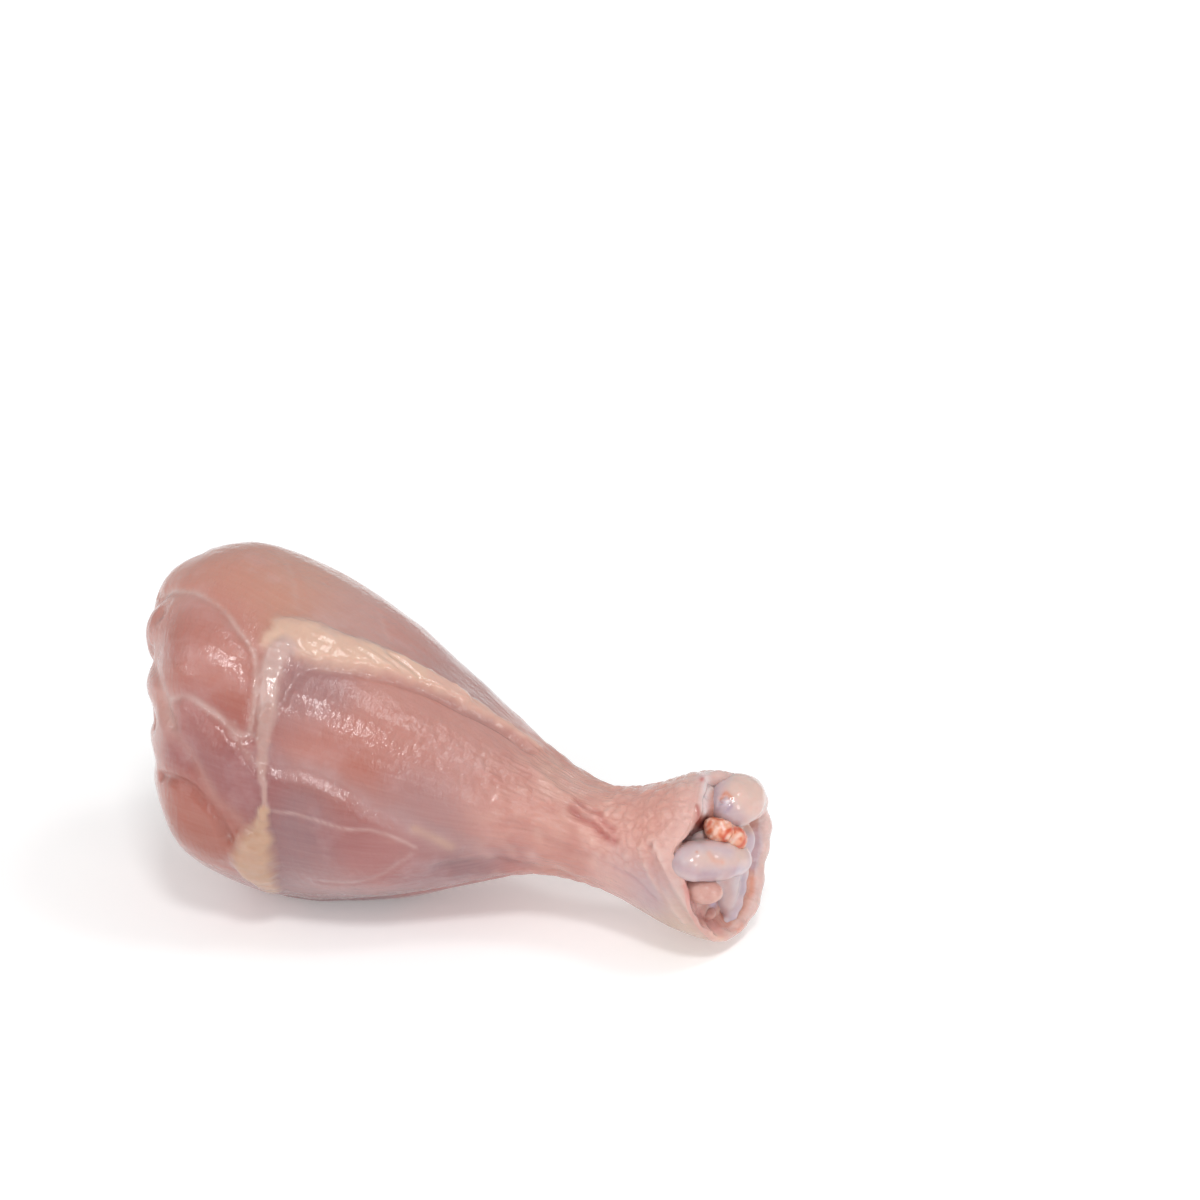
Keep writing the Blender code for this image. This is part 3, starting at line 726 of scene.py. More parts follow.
# %% All rows, and the tissue in the sockets
points = np.clip(np.array(knee_rows[::-1] + list(skin_surface) + ankle_rows + channel_rows),
                 box_low, box_high)
first_skin = len(knee_rows)
last_skin = first_skin + len(rows)
colour = np.empty_like(points)
colour[:first_skin] = linear("C99A92")
colour[first_skin:last_skin] = tone
colour[last_skin:] = linear("D79F90")
# Rows, seed of the noise, height of the lumps
SOCKETS = ((slice(0, first_skin + 3), 70.0, 0.5),
           (slice(last_skin + 5, last_skin + len(ankle_rows)), 80.0, 0.25))
SHRED_HEIGHT = 0.1


def tissue_in_sockets():
    """Soft lumps and shreds in the two sockets, with the colours of fat and torn membrane."""
    for part, seed, bulge in SOCKETS:
        lumps = soft_noise(points[part], 1.6, seed=seed)
        shreds = soft_noise(points[part], 0.7, seed=seed + 3)
        points[part, :, 0] += bulge * lumps + SHRED_HEIGHT * shreds
        veil_over(colour[part], 0.6 * smooth_step(0.0, 0.45, lumps + 0.3 * shreds), "E3C3B4")
        veil_over(colour[part], 0.5 * smooth_step(0.1, 0.5, -lumps), "C9806F")


def on_all_rows(values):
    """Values of the chart's own rows, with 0 on all the others."""
    padded = np.zeros((*points.shape[:2], *values.shape[2:]))
    padded[first_skin:last_skin] = values
    return padded


tissue_in_sockets()
fat_all = on_all_rows(fat)
skin_all = on_all_rows(skin)
print("rows in all:", len(points), "with skin, fat or muscle:", last_skin - first_skin)

# %% [markdown]
# ## From what the eye sees to pigment
# The colours so far are what the eye should see. The wet film and the scattering add white to
# them, so the pigment below has to be deeper, and most of all for muscle. The cut rim of the
# ankle gets its white edge, and the knee its torn membrane.

# %% Pigment and rims
MUSCLE_PIGMENT = np.array([0.79, 0.69, 0.67])
FAT_PIGMENT = np.array([0.89, 0.84, 0.79])
SKIN_PIGMENT = np.array([0.92, 0.86, 0.85])
pigment = MUSCLE_PIGMENT + skin_all[..., None] * (SKIN_PIGMENT - MUSCLE_PIGMENT)
colour *= pigment + fat_all[..., None] * (FAT_PIGMENT - pigment)
# Rows that the white edge of the ankle reaches on the skin and past the rim, and the torn
# membrane of the knee
WHITE_BEFORE = 20
WHITE_PAST = 8
TORN_ROWS = 18


def white_rim():
    """A white edge round the cut ankle, stronger behind."""
    strength = 0.30 + 0.40 * smooth_step(-0.4, 0.6, np.cos(turns))
    fade = smooth_step(-WHITE_BEFORE, -1, np.arange(-WHITE_BEFORE, WHITE_PAST))[:, None]
    veil_over(colour[last_skin - WHITE_BEFORE:last_skin + WHITE_PAST], fade * strength, "E0C9C4")


def torn_membrane():
    """Ragged pale membrane round the open knee."""
    reach = first_skin + TORN_ROWS
    torn = smooth_step(-0.3, 0.4, soft_noise(points[:reach], 2.6, seed=90.0))
    torn *= smooth_step(reach, first_skin + 2, np.arange(reach))[:, None]
    veil_over(colour[:reach], 0.7 * torn, "D9B6AB")


white_rim()
torn_membrane()
print("mean pigment of the meat:", colour.mean(axis=(0, 1)).round(2))

# %% [markdown]
# ## Touches of a brush
# The socket has spots and streaks that no rule gives: blood in the deep slit, darkened there to
# near black as painted shade, a fold of white membrane, orange fat along the rim. They could be
# painted by hand on an unwrapped picture. Here a stroke is a curve in pixels of the picture, and
# each point asks where it would show in it.

# %% Brush and socket strokes
def pixels_of(spots):
    """Where points show in the picture."""
    gaps = spots - camera_place
    depth = -(gaps @ BACKWARD)
    return np.stack([PICTURE_PIXELS / 2 + FOCAL * (gaps @ RIGHTWARD) / depth,
                     PICTURE_PIXELS / 2 - FOCAL * (gaps @ UPWARD) / depth], axis=-1)


def brush(colours, spots, strokes, facing):
    """Lay strokes on colours in place, where facing says that the surface is open to them."""
    where = pixels_of(spots)
    for shade, strength, points in strokes:
        curve = curve_through(points) if len(points) > 1 else np.array(points, float)
        gaps = np.min([np.linalg.norm(where - (x, y), axis=-1) / reach for x, y, reach in curve], axis=0)
        veil_over(colours, strength * facing * np.exp(-gaps ** 2), shade)


# Colour, strength, then pixel x, y and reach in pixels
SOCKET_STROKES = (
    ("D2C2C9", 0.7, ((752, 790, 5), (765, 812, 6), (767, 840, 6), (764, 870, 6), (762, 905, 5),
                     (752, 930, 4))),
    ("B7A6B8", 0.6, ((756, 835, 6), (755, 852, 8), (753, 866, 5))),
    ("D48A6F", 0.75, ((752, 880, 4), (752, 900, 4), (748, 915, 5), (741, 930, 5))),
    ("E3B9A4", 0.6, ((756, 905, 3), (745, 940, 4), (727, 943, 4), (712, 933, 3))),
    ("E8DADB", 0.85, ((703, 771, 5), (706, 785, 5), (705, 800, 5), (705, 813, 4))),
    ("E2B6AC", 0.7, ((690, 838, 7), (680, 846, 6), (676, 856, 5))),
    ("C2483F", 0.8, ((702, 779, 3),)),
    ("A23A30", 0.7, ((697, 806, 2), (699, 816, 3), (698, 822, 4))),
    # Near-black red in the deep slit: blood, darkened as painted shade in the hole
    ("57100F", 0.97, ((706, 818, 3.5), (701, 826, 5), (693, 834, 4))),
    ("DB9C97", 0.6, ((684, 868, 4), (690, 898, 5), (702, 915, 6), (716, 930, 5))),
    ("A7A0C6", 0.7, ((713, 904, 4),)),
    ("C77A70", 0.5, ((684, 886, 2), (692, 902, 2), (704, 920, 2))),
)
on_front = np.ones(points.shape[:2])
on_front[first_skin:last_skin] = smooth_step(0.0, 0.25, normals @ BACKWARD)
on_front[last_skin:last_skin + len(LIP_TURNS)] = smooth_step(-0.6, -0.3, normals[-1] @ BACKWARD)
ankle_part = slice(last_skin - 30, last_skin + len(ankle_rows))
brush(colour[ankle_part], points[ankle_part], SOCKET_STROKES, on_front[ankle_part])
print("strokes:", len(SOCKET_STROKES), "the calf shows at pixel", pixels_of(touch(400, 740)).round(1))

# %% [markdown]
# ## From points to a mesh
# The rings are joined by four-sided faces, round each ring and from ring to ring, and the last
# ring joins the first inside the leg. Blender can grow a mesh face by face, but filling its
# arrays at once is far quicker. What the material needs to know is kept on the points by name.

# %% Build the meat
def grid_mesh(name, grid):
    """A closed mesh from rings of points, joined round each ring and from the last to the first."""
    count, around = grid.shape[:2]
    number = np.arange(count * around).reshape(count, around)
    right = np.roll(number, -1, axis=1)
    below = np.roll(number, -1, axis=0)
    corner = np.roll(below, -1, axis=1)
    faces = np.stack([number, right, corner, below], axis=-1).reshape(-1, 4)
    mesh = bpy.data.meshes.new(name)
    mesh.vertices.add(count * around)
    mesh.vertices.foreach_set("co", (grid * MM).astype(np.float32).ravel())
    mesh.loops.add(faces.size)
    mesh.loops.foreach_set("vertex_index", faces.astype(np.int32).ravel())
    mesh.polygons.add(len(faces))
    mesh.polygons.foreach_set("loop_start", np.arange(0, faces.size, 4, dtype=np.int32))
    mesh.update(calc_edges=True)
    mesh.validate()
    shape = bmesh.new()
    shape.from_mesh(mesh)
    bmesh.ops.recalc_face_normals(shape, faces=shape.faces[:])
    shape.to_mesh(mesh)
    shape.free()
    mesh.shade_smooth()
    return mesh


def keep(mesh, name, kind, values):
    """Keep a value for every point of a mesh, where a material can read it."""
    field = {"FLOAT": "value", "FLOAT_COLOR": "color", "FLOAT_VECTOR": "vector"}[kind]
    attribute = mesh.attributes.new(name, kind, "POINT")
    attribute.data.foreach_set(field, np.asarray(values, np.float32).ravel())


def keep_tone(mesh, colours):
    """Keep a colour for every point of a mesh."""
    flat = colours.reshape(-1, 3)
    keep(mesh, "tone", "FLOAT_COLOR", np.hstack([flat, np.ones((len(flat), 1))]))


points = np.clip(points, box_low, box_high)
# Past the two ends the first leg coordinate runs on, so that the fine noise has no jump there
leg_all = on_all_rows(leg_space)
steps = np.linalg.norm(np.diff(points, axis=0), axis=-1)
leg_all[last_skin:] = leg_space[-1]
leg_all[last_skin:, :, 0] += np.cumsum(steps[last_skin - 1:], axis=0)
leg_all[:first_skin] = leg_space[0]
leg_all[:first_skin, :, 0] -= np.cumsum(steps[:first_skin][::-1], axis=0)[::-1]
meat_mesh = grid_mesh("meat", points)
keep_tone(meat_mesh, colour)
keep(meat_mesh, "fat", "FLOAT", fat_all)
keep(meat_mesh, "skin", "FLOAT", skin_all)
keep(meat_mesh, "leg", "FLOAT_VECTOR", leg_all)
meat = bpy.data.objects.new("meat", meat_mesh)
bpy.context.scene.collection.objects.link(meat)
print("meat:", len(meat_mesh.polygons), "faces")

# %% [markdown]
# ## The wet meat material
# Raw meat is translucent: light enters, scatters a few millimetres, mostly the red, and comes out
# again. Over it lies a film of water with sharp highlights. The Principled shader has both, as
# subsurface scattering and as a coat. Muscle fibres are noise stretched along the leg.

# %% Node helpers
def node(tree, kind, **inputs):
    """Add a shader node and set or link its inputs, by name or as i0, i1 and so on."""
    made = tree.nodes.new(kind)
    for name, value in inputs.items():
        socket = made.inputs[int(name[1:])] if name[1:].isdigit() else made.inputs[name.replace("_", " ")]
        if isinstance(value, bpy.types.NodeSocket):
            tree.links.new(value, socket)
        else:
            socket.default_value = value
    return made


def named(tree, name, output="Fac"):
    """Read a value that was kept on the points."""
    made = tree.nodes.new("ShaderNodeAttribute")
    made.attribute_name = name
    return made.outputs[output]


def scaled(tree, vector, scale):
    """Multiply a vector by three factors."""
    made = node(tree, "ShaderNodeVectorMath", i0=vector, i1=scale)
    made.operation = "MULTIPLY"
    return made.outputs["Vector"]


def noise_of(tree, vector, scale, detail=3.0, roughness=0.55):
    """Noise from 0 to 1; a scale of 1000 gives lumps of about a millimetre."""
    return node(tree, "ShaderNodeTexNoise", Vector=vector, Scale=scale, Detail=detail,
                Roughness=roughness).outputs["Fac"]


def spread(tree, value, old, new):
    """Stretch an old range of a value to a new one."""
    return node(tree, "ShaderNodeMapRange", Value=value, i1=old[0], i2=old[1], i3=new[0],
                i4=new[1]).outputs["Result"]


def mixed(tree, factor, first, second):
    """Mix a colour, or the output of a node, with a second colour."""
    made = tree.nodes.new("ShaderNodeMix")
    made.data_type = "RGBA"
    tree.links.new(factor, made.inputs["Factor"])
    first_socket, second_socket = [socket for socket in made.inputs if socket.type == "RGBA"]
    if isinstance(first, bpy.types.NodeSocket):
        tree.links.new(first, first_socket)
    else:
        first_socket.default_value = (*first, 1.0)
    second_socket.default_value = (*second, 1.0)
    return next(socket for socket in made.outputs if socket.type == "RGBA")


# How far red, green and blue light scatter in flesh, as shares of the scatter reach
SCATTER_SHARES = (1.0, 0.42, 0.30)
FLESH_IOR = 1.36
COAT_IOR = 1.45


def wet_shader(name, scatter, scatter_reach, coat, coat_roughness):
    """A new material with a translucent body and a wet coat; returns it with its tree and shader."""
    material = bpy.data.materials.new(name)
    material.use_nodes = True
    tree = material.node_tree
    shader = tree.nodes["Principled BSDF"]
    shader.inputs["Subsurface Weight"].default_value = scatter
    shader.inputs["Subsurface Radius"].default_value = SCATTER_SHARES
    shader.inputs["Subsurface Scale"].default_value = scatter_reach * MM
    shader.inputs["Coat Weight"].default_value = coat
    shader.inputs["Coat Roughness"].default_value = coat_roughness
    shader.inputs["IOR"].default_value = FLESH_IOR
    shader.inputs["Coat IOR"].default_value = COAT_IOR
    return material, tree, shader


def bumped(tree, shader, relief, distance):
    """Fine relief for both the body and the coat, of a height in mm."""
    made = node(tree, "ShaderNodeBump", Strength=1.0, Distance=distance * MM, Height=relief)
    tree.links.new(made.outputs["Normal"], shader.inputs["Normal"])
    tree.links.new(made.outputs["Normal"], shader.inputs["Coat Normal"])


print("red light scatters", round(SCATTER_SHARES[0] / SCATTER_SHARES[2], 1), "times as far as blue")

# %% [markdown]
# ## One material for muscle, fat and skin
# Three materials would meet in hard borders. This one reads the tone from the points and only
# adds what is finer than they are: pale fibres along the leg, deep red blotches, a lilac veil,
# and creases across the leg in the relief, which fade on fat.

# %% Wet meat
FIBRE_PALE = (0.86, 0.66, 0.60)
BLOTCH_RED = (0.45, 0.17, 0.14)
VEIL_LILAC = (0.68, 0.50, 0.52)
CREASE_DEPTH = 0.20


def wet_meat():
    """Muscle, fat and skin, told apart by the values on the points."""
    material, tree, shader = wet_shader("wet meat", scatter=0.22, scatter_reach=2.2, coat=1.0,
                                        coat_roughness=0.055)
    leg = named(tree, "leg", "Vector")
    where = node(tree, "ShaderNodeTexCoord").outputs["Object"]
    fat_here = named(tree, "fat")
    skin_here = named(tree, "skin")
    fibres = noise_of(tree, scaled(tree, leg, (0.10, 1.5, 1.5)), 1.0, detail=4.0, roughness=0.6)
    blotches = noise_of(tree, where, 260.0)
    veil = noise_of(tree, where, 110.0, detail=4.0, roughness=0.6)
    streaked = mixed(tree, spread(tree, fibres, (0.38, 0.75), (0.0, 0.05)),
                     named(tree, "tone", "Color"), FIBRE_PALE)
    deeper = mixed(tree, spread(tree, blotches, (0.45, 0.8), (0.0, 0.18)), streaked, BLOTCH_RED)
    veiled = mixed(tree, spread(tree, veil, (0.52, 0.75), (0.0, 0.20)), deeper, VEIL_LILAC)
    tree.links.new(veiled, shader.inputs["Base Color"])
    rough = node(tree, "ShaderNodeMath", i0=spread(tree, blotches, (0.3, 0.7), (0.34, 0.48)),
                 i1=spread(tree, skin_here, (0.0, 1.0), (0.0, 0.06))).outputs[0]
    tree.links.new(rough, shader.inputs["Roughness"])
    creases = noise_of(tree, scaled(tree, leg, (1.1, 0.45, 0.45)), 1.0, detail=4.0, roughness=0.62)
    grain = noise_of(tree, where, 1500.0, detail=2.0)
    fine = node(tree, "ShaderNodeMath", i0=creases,
                i1=spread(tree, grain, (0.0, 1.0), (0.0, 0.25))).outputs[0]
    softer = node(tree, "ShaderNodeMath", i0=fine, i1=spread(tree, fat_here, (0.0, 1.0), (1.0, 0.45)))
    softer.operation = "MULTIPLY"
    bumped(tree, shader, softer.outputs[0], CREASE_DEPTH)
    return material


meat_mesh.materials.append(wet_meat())
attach(meat, "root")
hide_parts("flesh")
print("material:", meat_mesh.materials[0].name)

# %% [markdown]
# ## The ends of the bone
# At the ankle the shin bone ends in two knuckles like the wheels of a pulley, capped with
# blue-white cartilage, with a ridge of ligament below them. At the knee it has two shallow
# plateaus. Such rounded forms grow into each other, so each is made from overlapping balls that
# a voxel remesh melts together; the noise and colours follow on the fine mesh.

# %% Balls that melt together
def bone_place(s, y, z):
    """A point beside the middle line of the bone, which runs on straight past the knee."""
    drop = np.interp(max(s, 0), *zip(*DROP))
    return THICK_MIDDLE + np.array([s, y, z - drop])


def melted(name, balls, voxel, smoothing):
    """One fine mesh from balls: s, y and z of the middle, and three radii."""
    shape = bmesh.new()
    for s, y, z, radius_x, radius_y, radius_z in balls:
        transform = (Matrix.Translation(Vector(bone_place(s, y, z) * MM))
                     @ Matrix.Diagonal((radius_x * MM, radius_y * MM, radius_z * MM, 1)))
        bmesh.ops.create_icosphere(shape, subdivisions=4, radius=1.0, matrix=transform)
    mesh = bpy.data.meshes.new(name)
    shape.to_mesh(mesh)
    shape.free()
    piece = bpy.data.objects.new(name, mesh)
    bpy.context.scene.collection.objects.link(piece)
    remesh = piece.modifiers.new("melt", "REMESH")
    remesh.mode = "VOXEL"
    remesh.voxel_size = voxel * MM
    smooth = piece.modifiers.new("smooth", "SMOOTH")
    smooth.factor = 0.6
    smooth.iterations = smoothing
    made = bpy.data.meshes.new_from_object(piece.evaluated_get(bpy.context.evaluated_depsgraph_get()))
    piece.modifiers.clear()
    piece.data = made
    made.name = name
    made.shade_smooth()
    return piece


def corners_of(mesh):
    """All points of a mesh in mm, and their normals."""
    count = len(mesh.vertices)
    spots, directions = np.empty(count * 3, np.float32), np.empty(count * 3, np.float32)
    mesh.vertices.foreach_get("co", spots)
    mesh.vertex_normals.foreach_get("vector", directions)
    return spots.reshape(-1, 3).astype(float) / MM, directions.reshape(-1, 3).astype(float)


def put_back(mesh, spots):
    """Give a mesh its changed points, kept inside the box of the solids."""
    inside = np.clip(spots, box_low, box_high) * MM
    mesh.vertices.foreach_set("co", inside.astype(np.float32).ravel())
    mesh.update()


print("middle of the ankle joint:", bone_place(80, 0, 0).round(1), "mm")

# %% The forms of the shin bone
BONE_BALLS = {
    "upper knuckle": ((80.3, 4.4, 8.6, 4.7, 5.4, 3.8), (80.2, 2.6, 8.7, 4.2, 4.6, 3.8),
                      (80.0, 6.4, 7.5, 4.8, 4.1, 3.5)),
    "lower knuckle": ((77.4, -8.0, 3.3, 3.5, 3.9, 3.0), (78.3, -6.8, 3.0, 3.7, 4.2, 3.0),
                      (79.3, -5.6, 2.7, 4.0, 4.5, 3.1), (80.2, -4.4, 2.3, 4.0, 4.4, 3.05),
                      (81.1, -3.2, 1.9, 3.5, 3.8, 2.7), (82.0, -2.0, 1.5, 2.9, 3.2, 2.5)),
    "back ridge": ((77.5, 2.6, 2.5, 4.6, 4.4, 5.6), (81.2, 4.8, 1.6, 2.2, 1.8, 3.0),
                   (81.3, 4.7, -1.2, 1.5, 1.3, 2.6), (81.2, 4.6, -3.8, 1.4, 1.2, 2.4),
                   (81.0, 4.2, -6.3, 1.4, 1.2, 2.2), (80.8, 3.2, -8.6, 1.4, 1.3, 2.0),
                   (80.3, 2.0, -10.2, 1.5, 1.5, 1.5), (79.6, 0.6, -11.2, 1.4, 1.5, 1.1)),
    "plate in front of the ridge": ((79.4, 2.2, -5.0, 2.3, 3.0, 5.4), (78.6, 2.0, -3.0, 3.4, 3.6, 4.4),
                                    (76.0, 0.0, 1.0, 5.0, 5.4, 6.4)),
    "shaft": ((70.0, 0.0, 0.0, 6.0, 4.6, 5.4), (63.0, 0.0, 0.0, 7.0, 3.9, 4.2),
              (52.0, 0.0, 0.0, 10.0, 3.6, 3.6), (40.0, 0.0, 0.0, 10.0, 3.6, 3.6),
              (28.0, 0.0, 0.0, 10.0, 3.6, 3.6), (16.0, 0.0, 0.0, 10.0, 3.8, 3.8),
              (5.0, 0.0, 0.5, 9.0, 4.4, 4.4)),
    "knee head": ((-4.0, 0.0, 1.6, 6.0, 7.6, 7.4), (-8.9, -4.3, 2.9, 4.3, 4.2, 5.8),
                  (-8.7, 4.5, 2.0, 4.3, 4.0, 5.4), (-6.6, 0.0, 6.6, 4.0, 4.6, 3.4),
                  (-6.6, 0.0, -2.6, 3.8, 5.6, 3.4), (-7.2, 0.0, 2.0, 4.0, 4.0, 4.0)),
}
all_balls = [ball for form in BONE_BALLS.values() for ball in form]
bone = melted("shin_bone", all_balls, voxel=0.27, smoothing=9)
print("bone:", len(BONE_BALLS), "forms,", len(bone.data.polygons), "faces")

# %% [markdown]
# ## Cartilage
# Fresh cartilage is lilac-white and glossy, creamier on the crowns, with a scatter of pits and a
# few stains of orange fat. A single noise would look like marble, so the main shades follow the
# directions of the surface, and the stains and a painted highlight on the upper knuckle are
# strokes of the brush.

# %% The finish of the shin bone
def cartilage():
    """Smooth glossy cartilage: lilac-white, creamier on the crowns, with a faint mottling."""
    material, tree, shader = wet_shader("cartilage", scatter=0.35, scatter_reach=1.8, coat=0.8,
                                        coat_roughness=0.08)
    where = node(tree, "ShaderNodeTexCoord").outputs["Object"]
    clouds = noise_of(tree, where, 300.0)
    clouded = mixed(tree, spread(tree, clouds, (0.4, 0.75), (0.0, 0.35)), named(tree, "tone", "Color"),
                    linear("E4CBC2"))
    tree.links.new(clouded, shader.inputs["Base Color"])
    shader.inputs["Roughness"].default_value = 0.28
    bumped(tree, shader, noise_of(tree, where, 500.0), 0.10)
    return material


CARTILAGE_PIGMENT = 0.95
# The upper knuckle is pitted round a pixel; the reach is in pixels, the depth in mm
PITTED_PIXEL = (725, 802)
PITTED_REACH = 7
PIT_DEPTH = 0.55
# Beyond this x, in mm, a point belongs to the ankle
ANKLE_SIDE = 30
# The crowns of the knuckles face this way
CROWN_SIDE = np.array([0.45, 0.35, 0.82])
# Colour, strength, then pixel x, y and reach in pixels
BONE_STROKES = (
    ("BFABB8", 0.75, ((711, 800, 7), (714, 788, 8), (724, 779, 7))),
    # Cream of the upper knuckle, partly its own colour and partly a painted highlight where it is wet
    ("DDB9AD", 0.85, ((738, 786, 10), (750, 800, 12), (752, 812, 9))),
    ("E5AC98", 0.55, ((762, 812, 6), (758, 826, 6), (748, 824, 5))),
    ("B9A5B5", 0.7, ((725, 806, 6), (728, 816, 5))),
    ("D6876A", 0.75, ((721, 799, 2), (726, 793, 2.2), (731, 797, 2))),
    ("EFE6EC", 0.7, ((724, 803, 1.6), (729, 801, 1.5))),
    ("8E7DA3", 0.4, ((731, 806, 1.8), (726, 812, 1.8))),
    ("C9B4BC", 0.85, ((680, 856, 9), (692, 848, 9), (710, 845, 9), (728, 852, 8))),
    ("B4959F", 0.7, ((676, 866, 5), (695, 873, 5), (715, 876, 5), (733, 870, 4))),
    ("CF7D5C", 0.85, ((697, 852, 1.5),)),
    ("DDA391", 0.7, ((709, 853, 2.5), (714, 860, 3), (722, 862, 3))),
    ("B9A6B8", 0.7, ((740, 870, 5), (745, 886, 5), (742, 905, 5), (732, 922, 5))),
    ("C9A3A0", 0.7, ((726, 880, 5), (729, 900, 5), (722, 920, 4))),
    ("B3A3B6", 0.6, ((752, 838, 6), (753, 855, 6))),
)


def pitted(spots, directions):
    """Push small pits into the upper knuckle."""
    near = np.exp(-(np.linalg.norm(pixels_of(spots) - PITTED_PIXEL, axis=1) / PITTED_REACH) ** 2)
    near *= smooth_step(0.0, 0.3, directions @ BACKWARD) * (spots[:, 0] > ANKLE_SIDE)
    return spots + directions * (PIT_DEPTH * near * soft_noise(spots, 0.55))[:, None]


def cartilage_tint(spots, directions, lumps):
    """Cream crowns and lilac sides at the ankle; greyer, with a red rim, at the knee."""
    tint = np.tile(linear("BFA8AE"), (len(spots), 1))
    veil_over(tint, smooth_step(-0.2, 0.9, directions @ CROWN_SIDE), "DDBDB2")
    above_middle = (spots - bone_place(80, 0, 0))[:, 2]
    veil_over(tint, 0.7 * smooth_step(3.0, 1.0, above_middle), "CDB9BE")
    knee_tint = linear("D2C3C6") + 0.5 * lumps[:, None] * (linear("DDBDB2") - linear("CDB9BE"))
    from_middle = np.linalg.norm((spots - bone_place(0, 0, 2.2))[:, 1:], axis=1)
    veil_over(knee_tint, 0.7 * smooth_step(5.5, 8.5, from_middle + 1.5 * lumps), "C9958A")
    tint += smooth_step(-20, -30, spots[:, 0])[:, None] * (knee_tint - tint)
    open_to_strokes = smooth_step(-0.1, 0.2, directions @ BACKWARD)
    open_to_strokes *= smooth_step(ANKLE_SIDE, ANKLE_SIDE + 6, spots[:, 0])
    brush(tint, spots, BONE_STROKES, open_to_strokes)
    return tint * CARTILAGE_PIGMENT


def finish_bone(piece):
    """Soft lumps, pits and the colours of cartilage."""
    spots, directions = corners_of(piece.data)
    lumps = soft_noise(spots, 2.2)
    spots = spots + directions * (0.10 * lumps)[:, None]
    put_back(piece.data, pitted(spots, directions))
    keep_tone(piece.data, cartilage_tint(spots, directions, lumps))
    piece.data.materials.clear()
    piece.data.materials.append(cartilage())
    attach(piece, "root")
    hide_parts("bone")


finish_bone(bone)
print("strokes on the cartilage:", len(BONE_STROKES))

# %% [markdown]
# ## Marrow
# Between the knuckles sit two lumps of spongy orange-red tissue with pale hearts. They are small,
# so melted balls with a little relief carry them. A noise gives the cells their orange walls, and
# a ring of strokes draws the heart that shows most.

# %% Red tissue
MARROW_LUMPS = ((80.0, -3.2, 6.7, 2.3, 2.0, 1.9), (79.0, -3.2, 7.3, 1.5, 1.6, 1.3),
                (81.8, -1.6, 4.8, 2.2, 2.0, 2.0), (80.6, -1.2, 5.7, 1.7, 1.7, 1.7),
                (79.4, 0.8, 5.4, 2.6, 1.8, 2.0))
# Colour, strength, then pixel x, y and reach in pixels
MARROW_STROKES = (
    ("F0D3C8", 0.8, ((721, 824, 2.2), (724, 829, 1.8))),
    ("F0D5CB", 0.7, ((727, 822, 1.5),)),
    ("CE5F3F", 0.8, ((711, 822, 2.4), (707, 827, 1.6))),
    ("C94F30", 0.85, ((723, 838, 2), (730, 830, 2), (740, 829, 2), (746, 836, 2), (742, 845, 2),
                      (733, 849, 2), (726, 844, 2), (723, 838, 2))),
    ("E8CABD", 0.8, ((732, 843, 2), (737, 837, 2.4), (741, 834, 1.6))),
)


def red_tissue():
    """Two lumps, orange-red round a pale heart."""
    piece = melted("red_tissue", MARROW_LUMPS, voxel=0.16, smoothing=3)
    spots, directions = corners_of(piece.data)
    put_back(piece.data, spots + directions * (0.16 * soft_noise(spots, 0.6))[:, None])
    cells = soft_noise(spots, 0.9, seed=7)
    tint = np.tile(linear("E2A287"), (len(spots), 1))
    veil_over(tint, smooth_step(0.0, 0.4, cells), "D4724F")
    veil_over(tint, 0.8 * smooth_step(0.1, 0.45, -cells), "F0CDBD")
    brush(tint, spots, MARROW_STROKES, smooth_step(-0.1, 0.2, directions @ BACKWARD))
    keep_tone(piece.data, tint)
    material, tree, shader = wet_shader("red tissue", scatter=0.3, scatter_reach=1.2, coat=0.8,
                                        coat_roughness=0.10)
    where = node(tree, "ShaderNodeTexCoord").outputs["Object"]
    tree.links.new(named(tree, "tone", "Color"), shader.inputs["Base Color"])
    shader.inputs["Roughness"].default_value = 0.35
    bumped(tree, shader, noise_of(tree, where, 1400.0), 0.12)
    piece.data.materials.clear()
    piece.data.materials.append(material)
    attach(piece, "root")
    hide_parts("marrow")
    return piece


marrow = red_tissue()
print("red tissue:", len(marrow.data.polygons), "faces")

# %% [markdown]
# ## Cut tendons
# Below the knuckles a cut tendon shows as a smooth pink plug, and a small one beside it. They are
# made as the marrow is, but almost even: a tendon has no cells, only a soft cloud in its colour.

# %% Tendons
# Solid that it replaces, colour, balls
TENDONS = {
    "cut_tendon": ("tendon_front", "C6958B", ((78.9, -8.2, -1.4, 3.4, 2.0, 2.1),
                                              (78.0, -6.4, -2.0, 2.9, 2.4, 2.1))),
    "small_tendon": ("tendon_back", "C99086", ((78.0, -2.8, -8.1, 1.6, 1.5, 1.0),)),
}


def cut_tendon(name, solid, shade, balls):
    """A smooth pink plug."""
    piece = melted(name, balls, voxel=0.16, smoothing=4)
    spots, directions = corners_of(piece.data)
    put_back(piece.data, spots + directions * (0.07 * soft_noise(spots, 1.3))[:, None])
    material, tree, shader = wet_shader(name.replace("_", " "), scatter=0.35, scatter_reach=1.5,
                                        coat=0.7, coat_roughness=0.12)
    cloud = noise_of(tree, node(tree, "ShaderNodeTexCoord").outputs["Object"], 600.0)
    tinted = mixed(tree, spread(tree, cloud, (0.35, 0.7), (0.0, 0.4)), linear(shade), linear("E2BFB4"))
    tree.links.new(tinted, shader.inputs["Base Color"])
    shader.inputs["Roughness"].default_value = 0.34
    bumped(tree, shader, cloud, 0.08)
    piece.data.materials.clear()
    piece.data.materials.append(material)
    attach(piece, "root")
    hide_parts(solid)
    return piece


for name, (solid, shade, balls) in TENDONS.items():
    print(name, len(cut_tendon(name, solid, shade, balls).data.polygons), "faces")

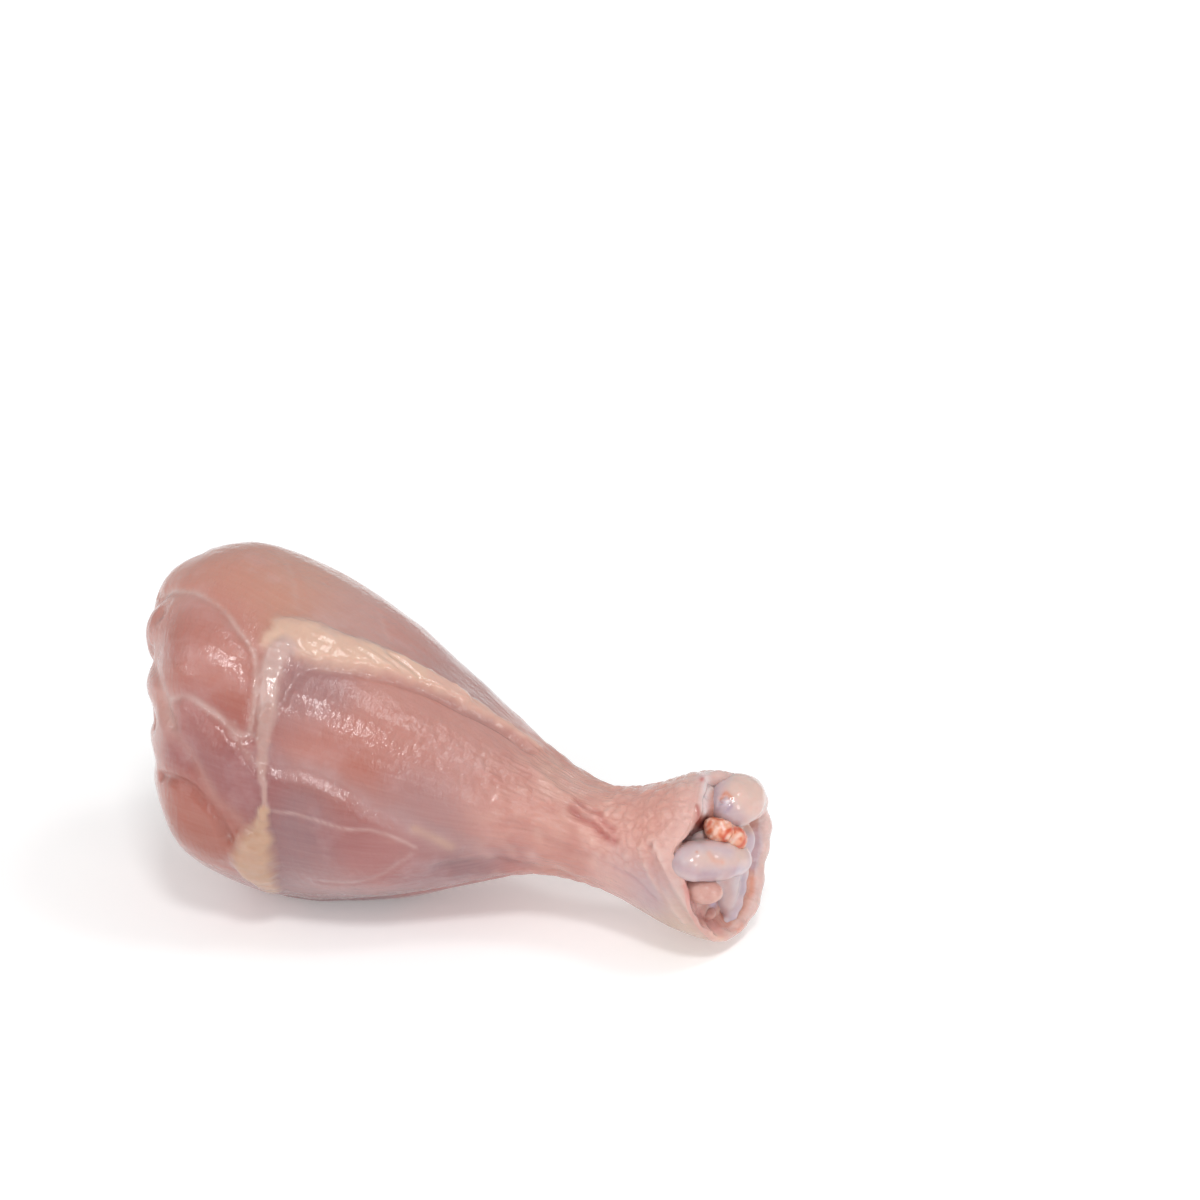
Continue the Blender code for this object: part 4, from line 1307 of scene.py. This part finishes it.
# %% [markdown]
# ## Light
# The picture was lit as food is: soft light from above and in front, brighter than its
# surroundings, which are white all round. The round wet highlights on the muscles are reflections
# of small windows, so each light was given the direction in which a highlight of the picture
# reflects. One large softbox would light the meat as evenly but leave it looking dry.

# %% Lights
LIGHT_DISTANCE = 0.9
# Name, direction from the drumstick, size in m, power in W
LIGHTS = (
    ("key", (0.28, -0.50, 0.81), 0.15, 2.2),
    ("left front", (-0.42, -0.66, 0.64), 0.40, 0.9),
    ("top", (0.45, 0.10, 0.88), 0.20, 1.0),
    ("right window", (0.74, -0.57, 0.35), 0.16, 0.75),
    ("left window", (-0.55, -0.78, 0.31), 0.14, 0.45),
    ("fill", (0.75, -0.55, 0.45), 0.9, 0.4),
    ("back", (0.3, 0.85, 0.7), 0.8, 0.25),
)
ROOM_STRENGTH = 0.48


def soft_light(name, direction, size, power):
    """A square softbox that faces the drumstick."""
    data = bpy.data.lights.new(name, "AREA")
    data.shape = "SQUARE"
    data.size = size
    data.energy = power
    light = bpy.data.objects.new(name, data)
    towards = Vector(direction).normalized()
    light.location = towards * LIGHT_DISTANCE
    light.rotation_euler = towards.to_track_quat("Z", "Y").to_euler()
    bpy.context.scene.collection.objects.link(light)


for light in LIGHTS:
    soft_light(*light)
world = bpy.data.worlds.new("white room")
world.use_nodes = True
background = world.node_tree.nodes["Background"]
background.inputs["Color"].default_value = (1.0, 1.0, 1.0, 1)
background.inputs["Strength"].default_value = ROOM_STRENGTH
bpy.context.scene.world = world
bpy.context.scene.view_settings.view_transform = "Standard"
print("lights:", len(LIGHTS), "with", sum(power for *_, power in LIGHTS), "W in all")

# %% [markdown]
# ## Floor
# The drumstick lies on plain white that burns out a little way off. A brighter floor would light
# the meat from below, so it only glows with the distance from the middle: softly under the meat,
# where the shadow has to show, and fully towards the horizon.

# %% White floor
FLOOR_HALF = 1.5
FLOOR_WHITE = (0.95, 0.95, 0.95, 1)
# Distances from the middle in m, and the strength of the glow there
GLOW_FROM_TO = (0.08, 0.7)
GLOW_STRENGTH = (0.20, 0.62)


def white_floor():
    """A wide matt white floor at the height that the meat rests on."""
    mesh = bpy.data.meshes.new("floor")
    corners = [(x * FLOOR_HALF, y * FLOOR_HALF, 0.0) for x, y in ((-1, -1), (1, -1), (1, 1), (-1, 1))]
    mesh.from_pydata(corners, [], [(0, 1, 2, 3)])
    floor = bpy.data.objects.new("floor", mesh)
    bpy.context.scene.collection.objects.link(floor)
    material = bpy.data.materials.new("white floor")
    material.use_nodes = True
    tree = material.node_tree
    shader = tree.nodes["Principled BSDF"]
    shader.inputs["Base Color"].default_value = FLOOR_WHITE
    shader.inputs["Roughness"].default_value = 0.9
    shader.inputs["Emission Color"].default_value = (1.0, 1.0, 1.0, 1)
    from_middle = node(tree, "ShaderNodeVectorMath", i0=node(tree, "ShaderNodeTexCoord").outputs["Object"])
    from_middle.operation = "LENGTH"
    glow = spread(tree, from_middle.outputs["Value"], GLOW_FROM_TO, GLOW_STRENGTH)
    tree.links.new(glow, shader.inputs["Emission Strength"])
    mesh.materials.append(material)


white_floor()
print("floor half width:", FLOOR_HALF, "m")
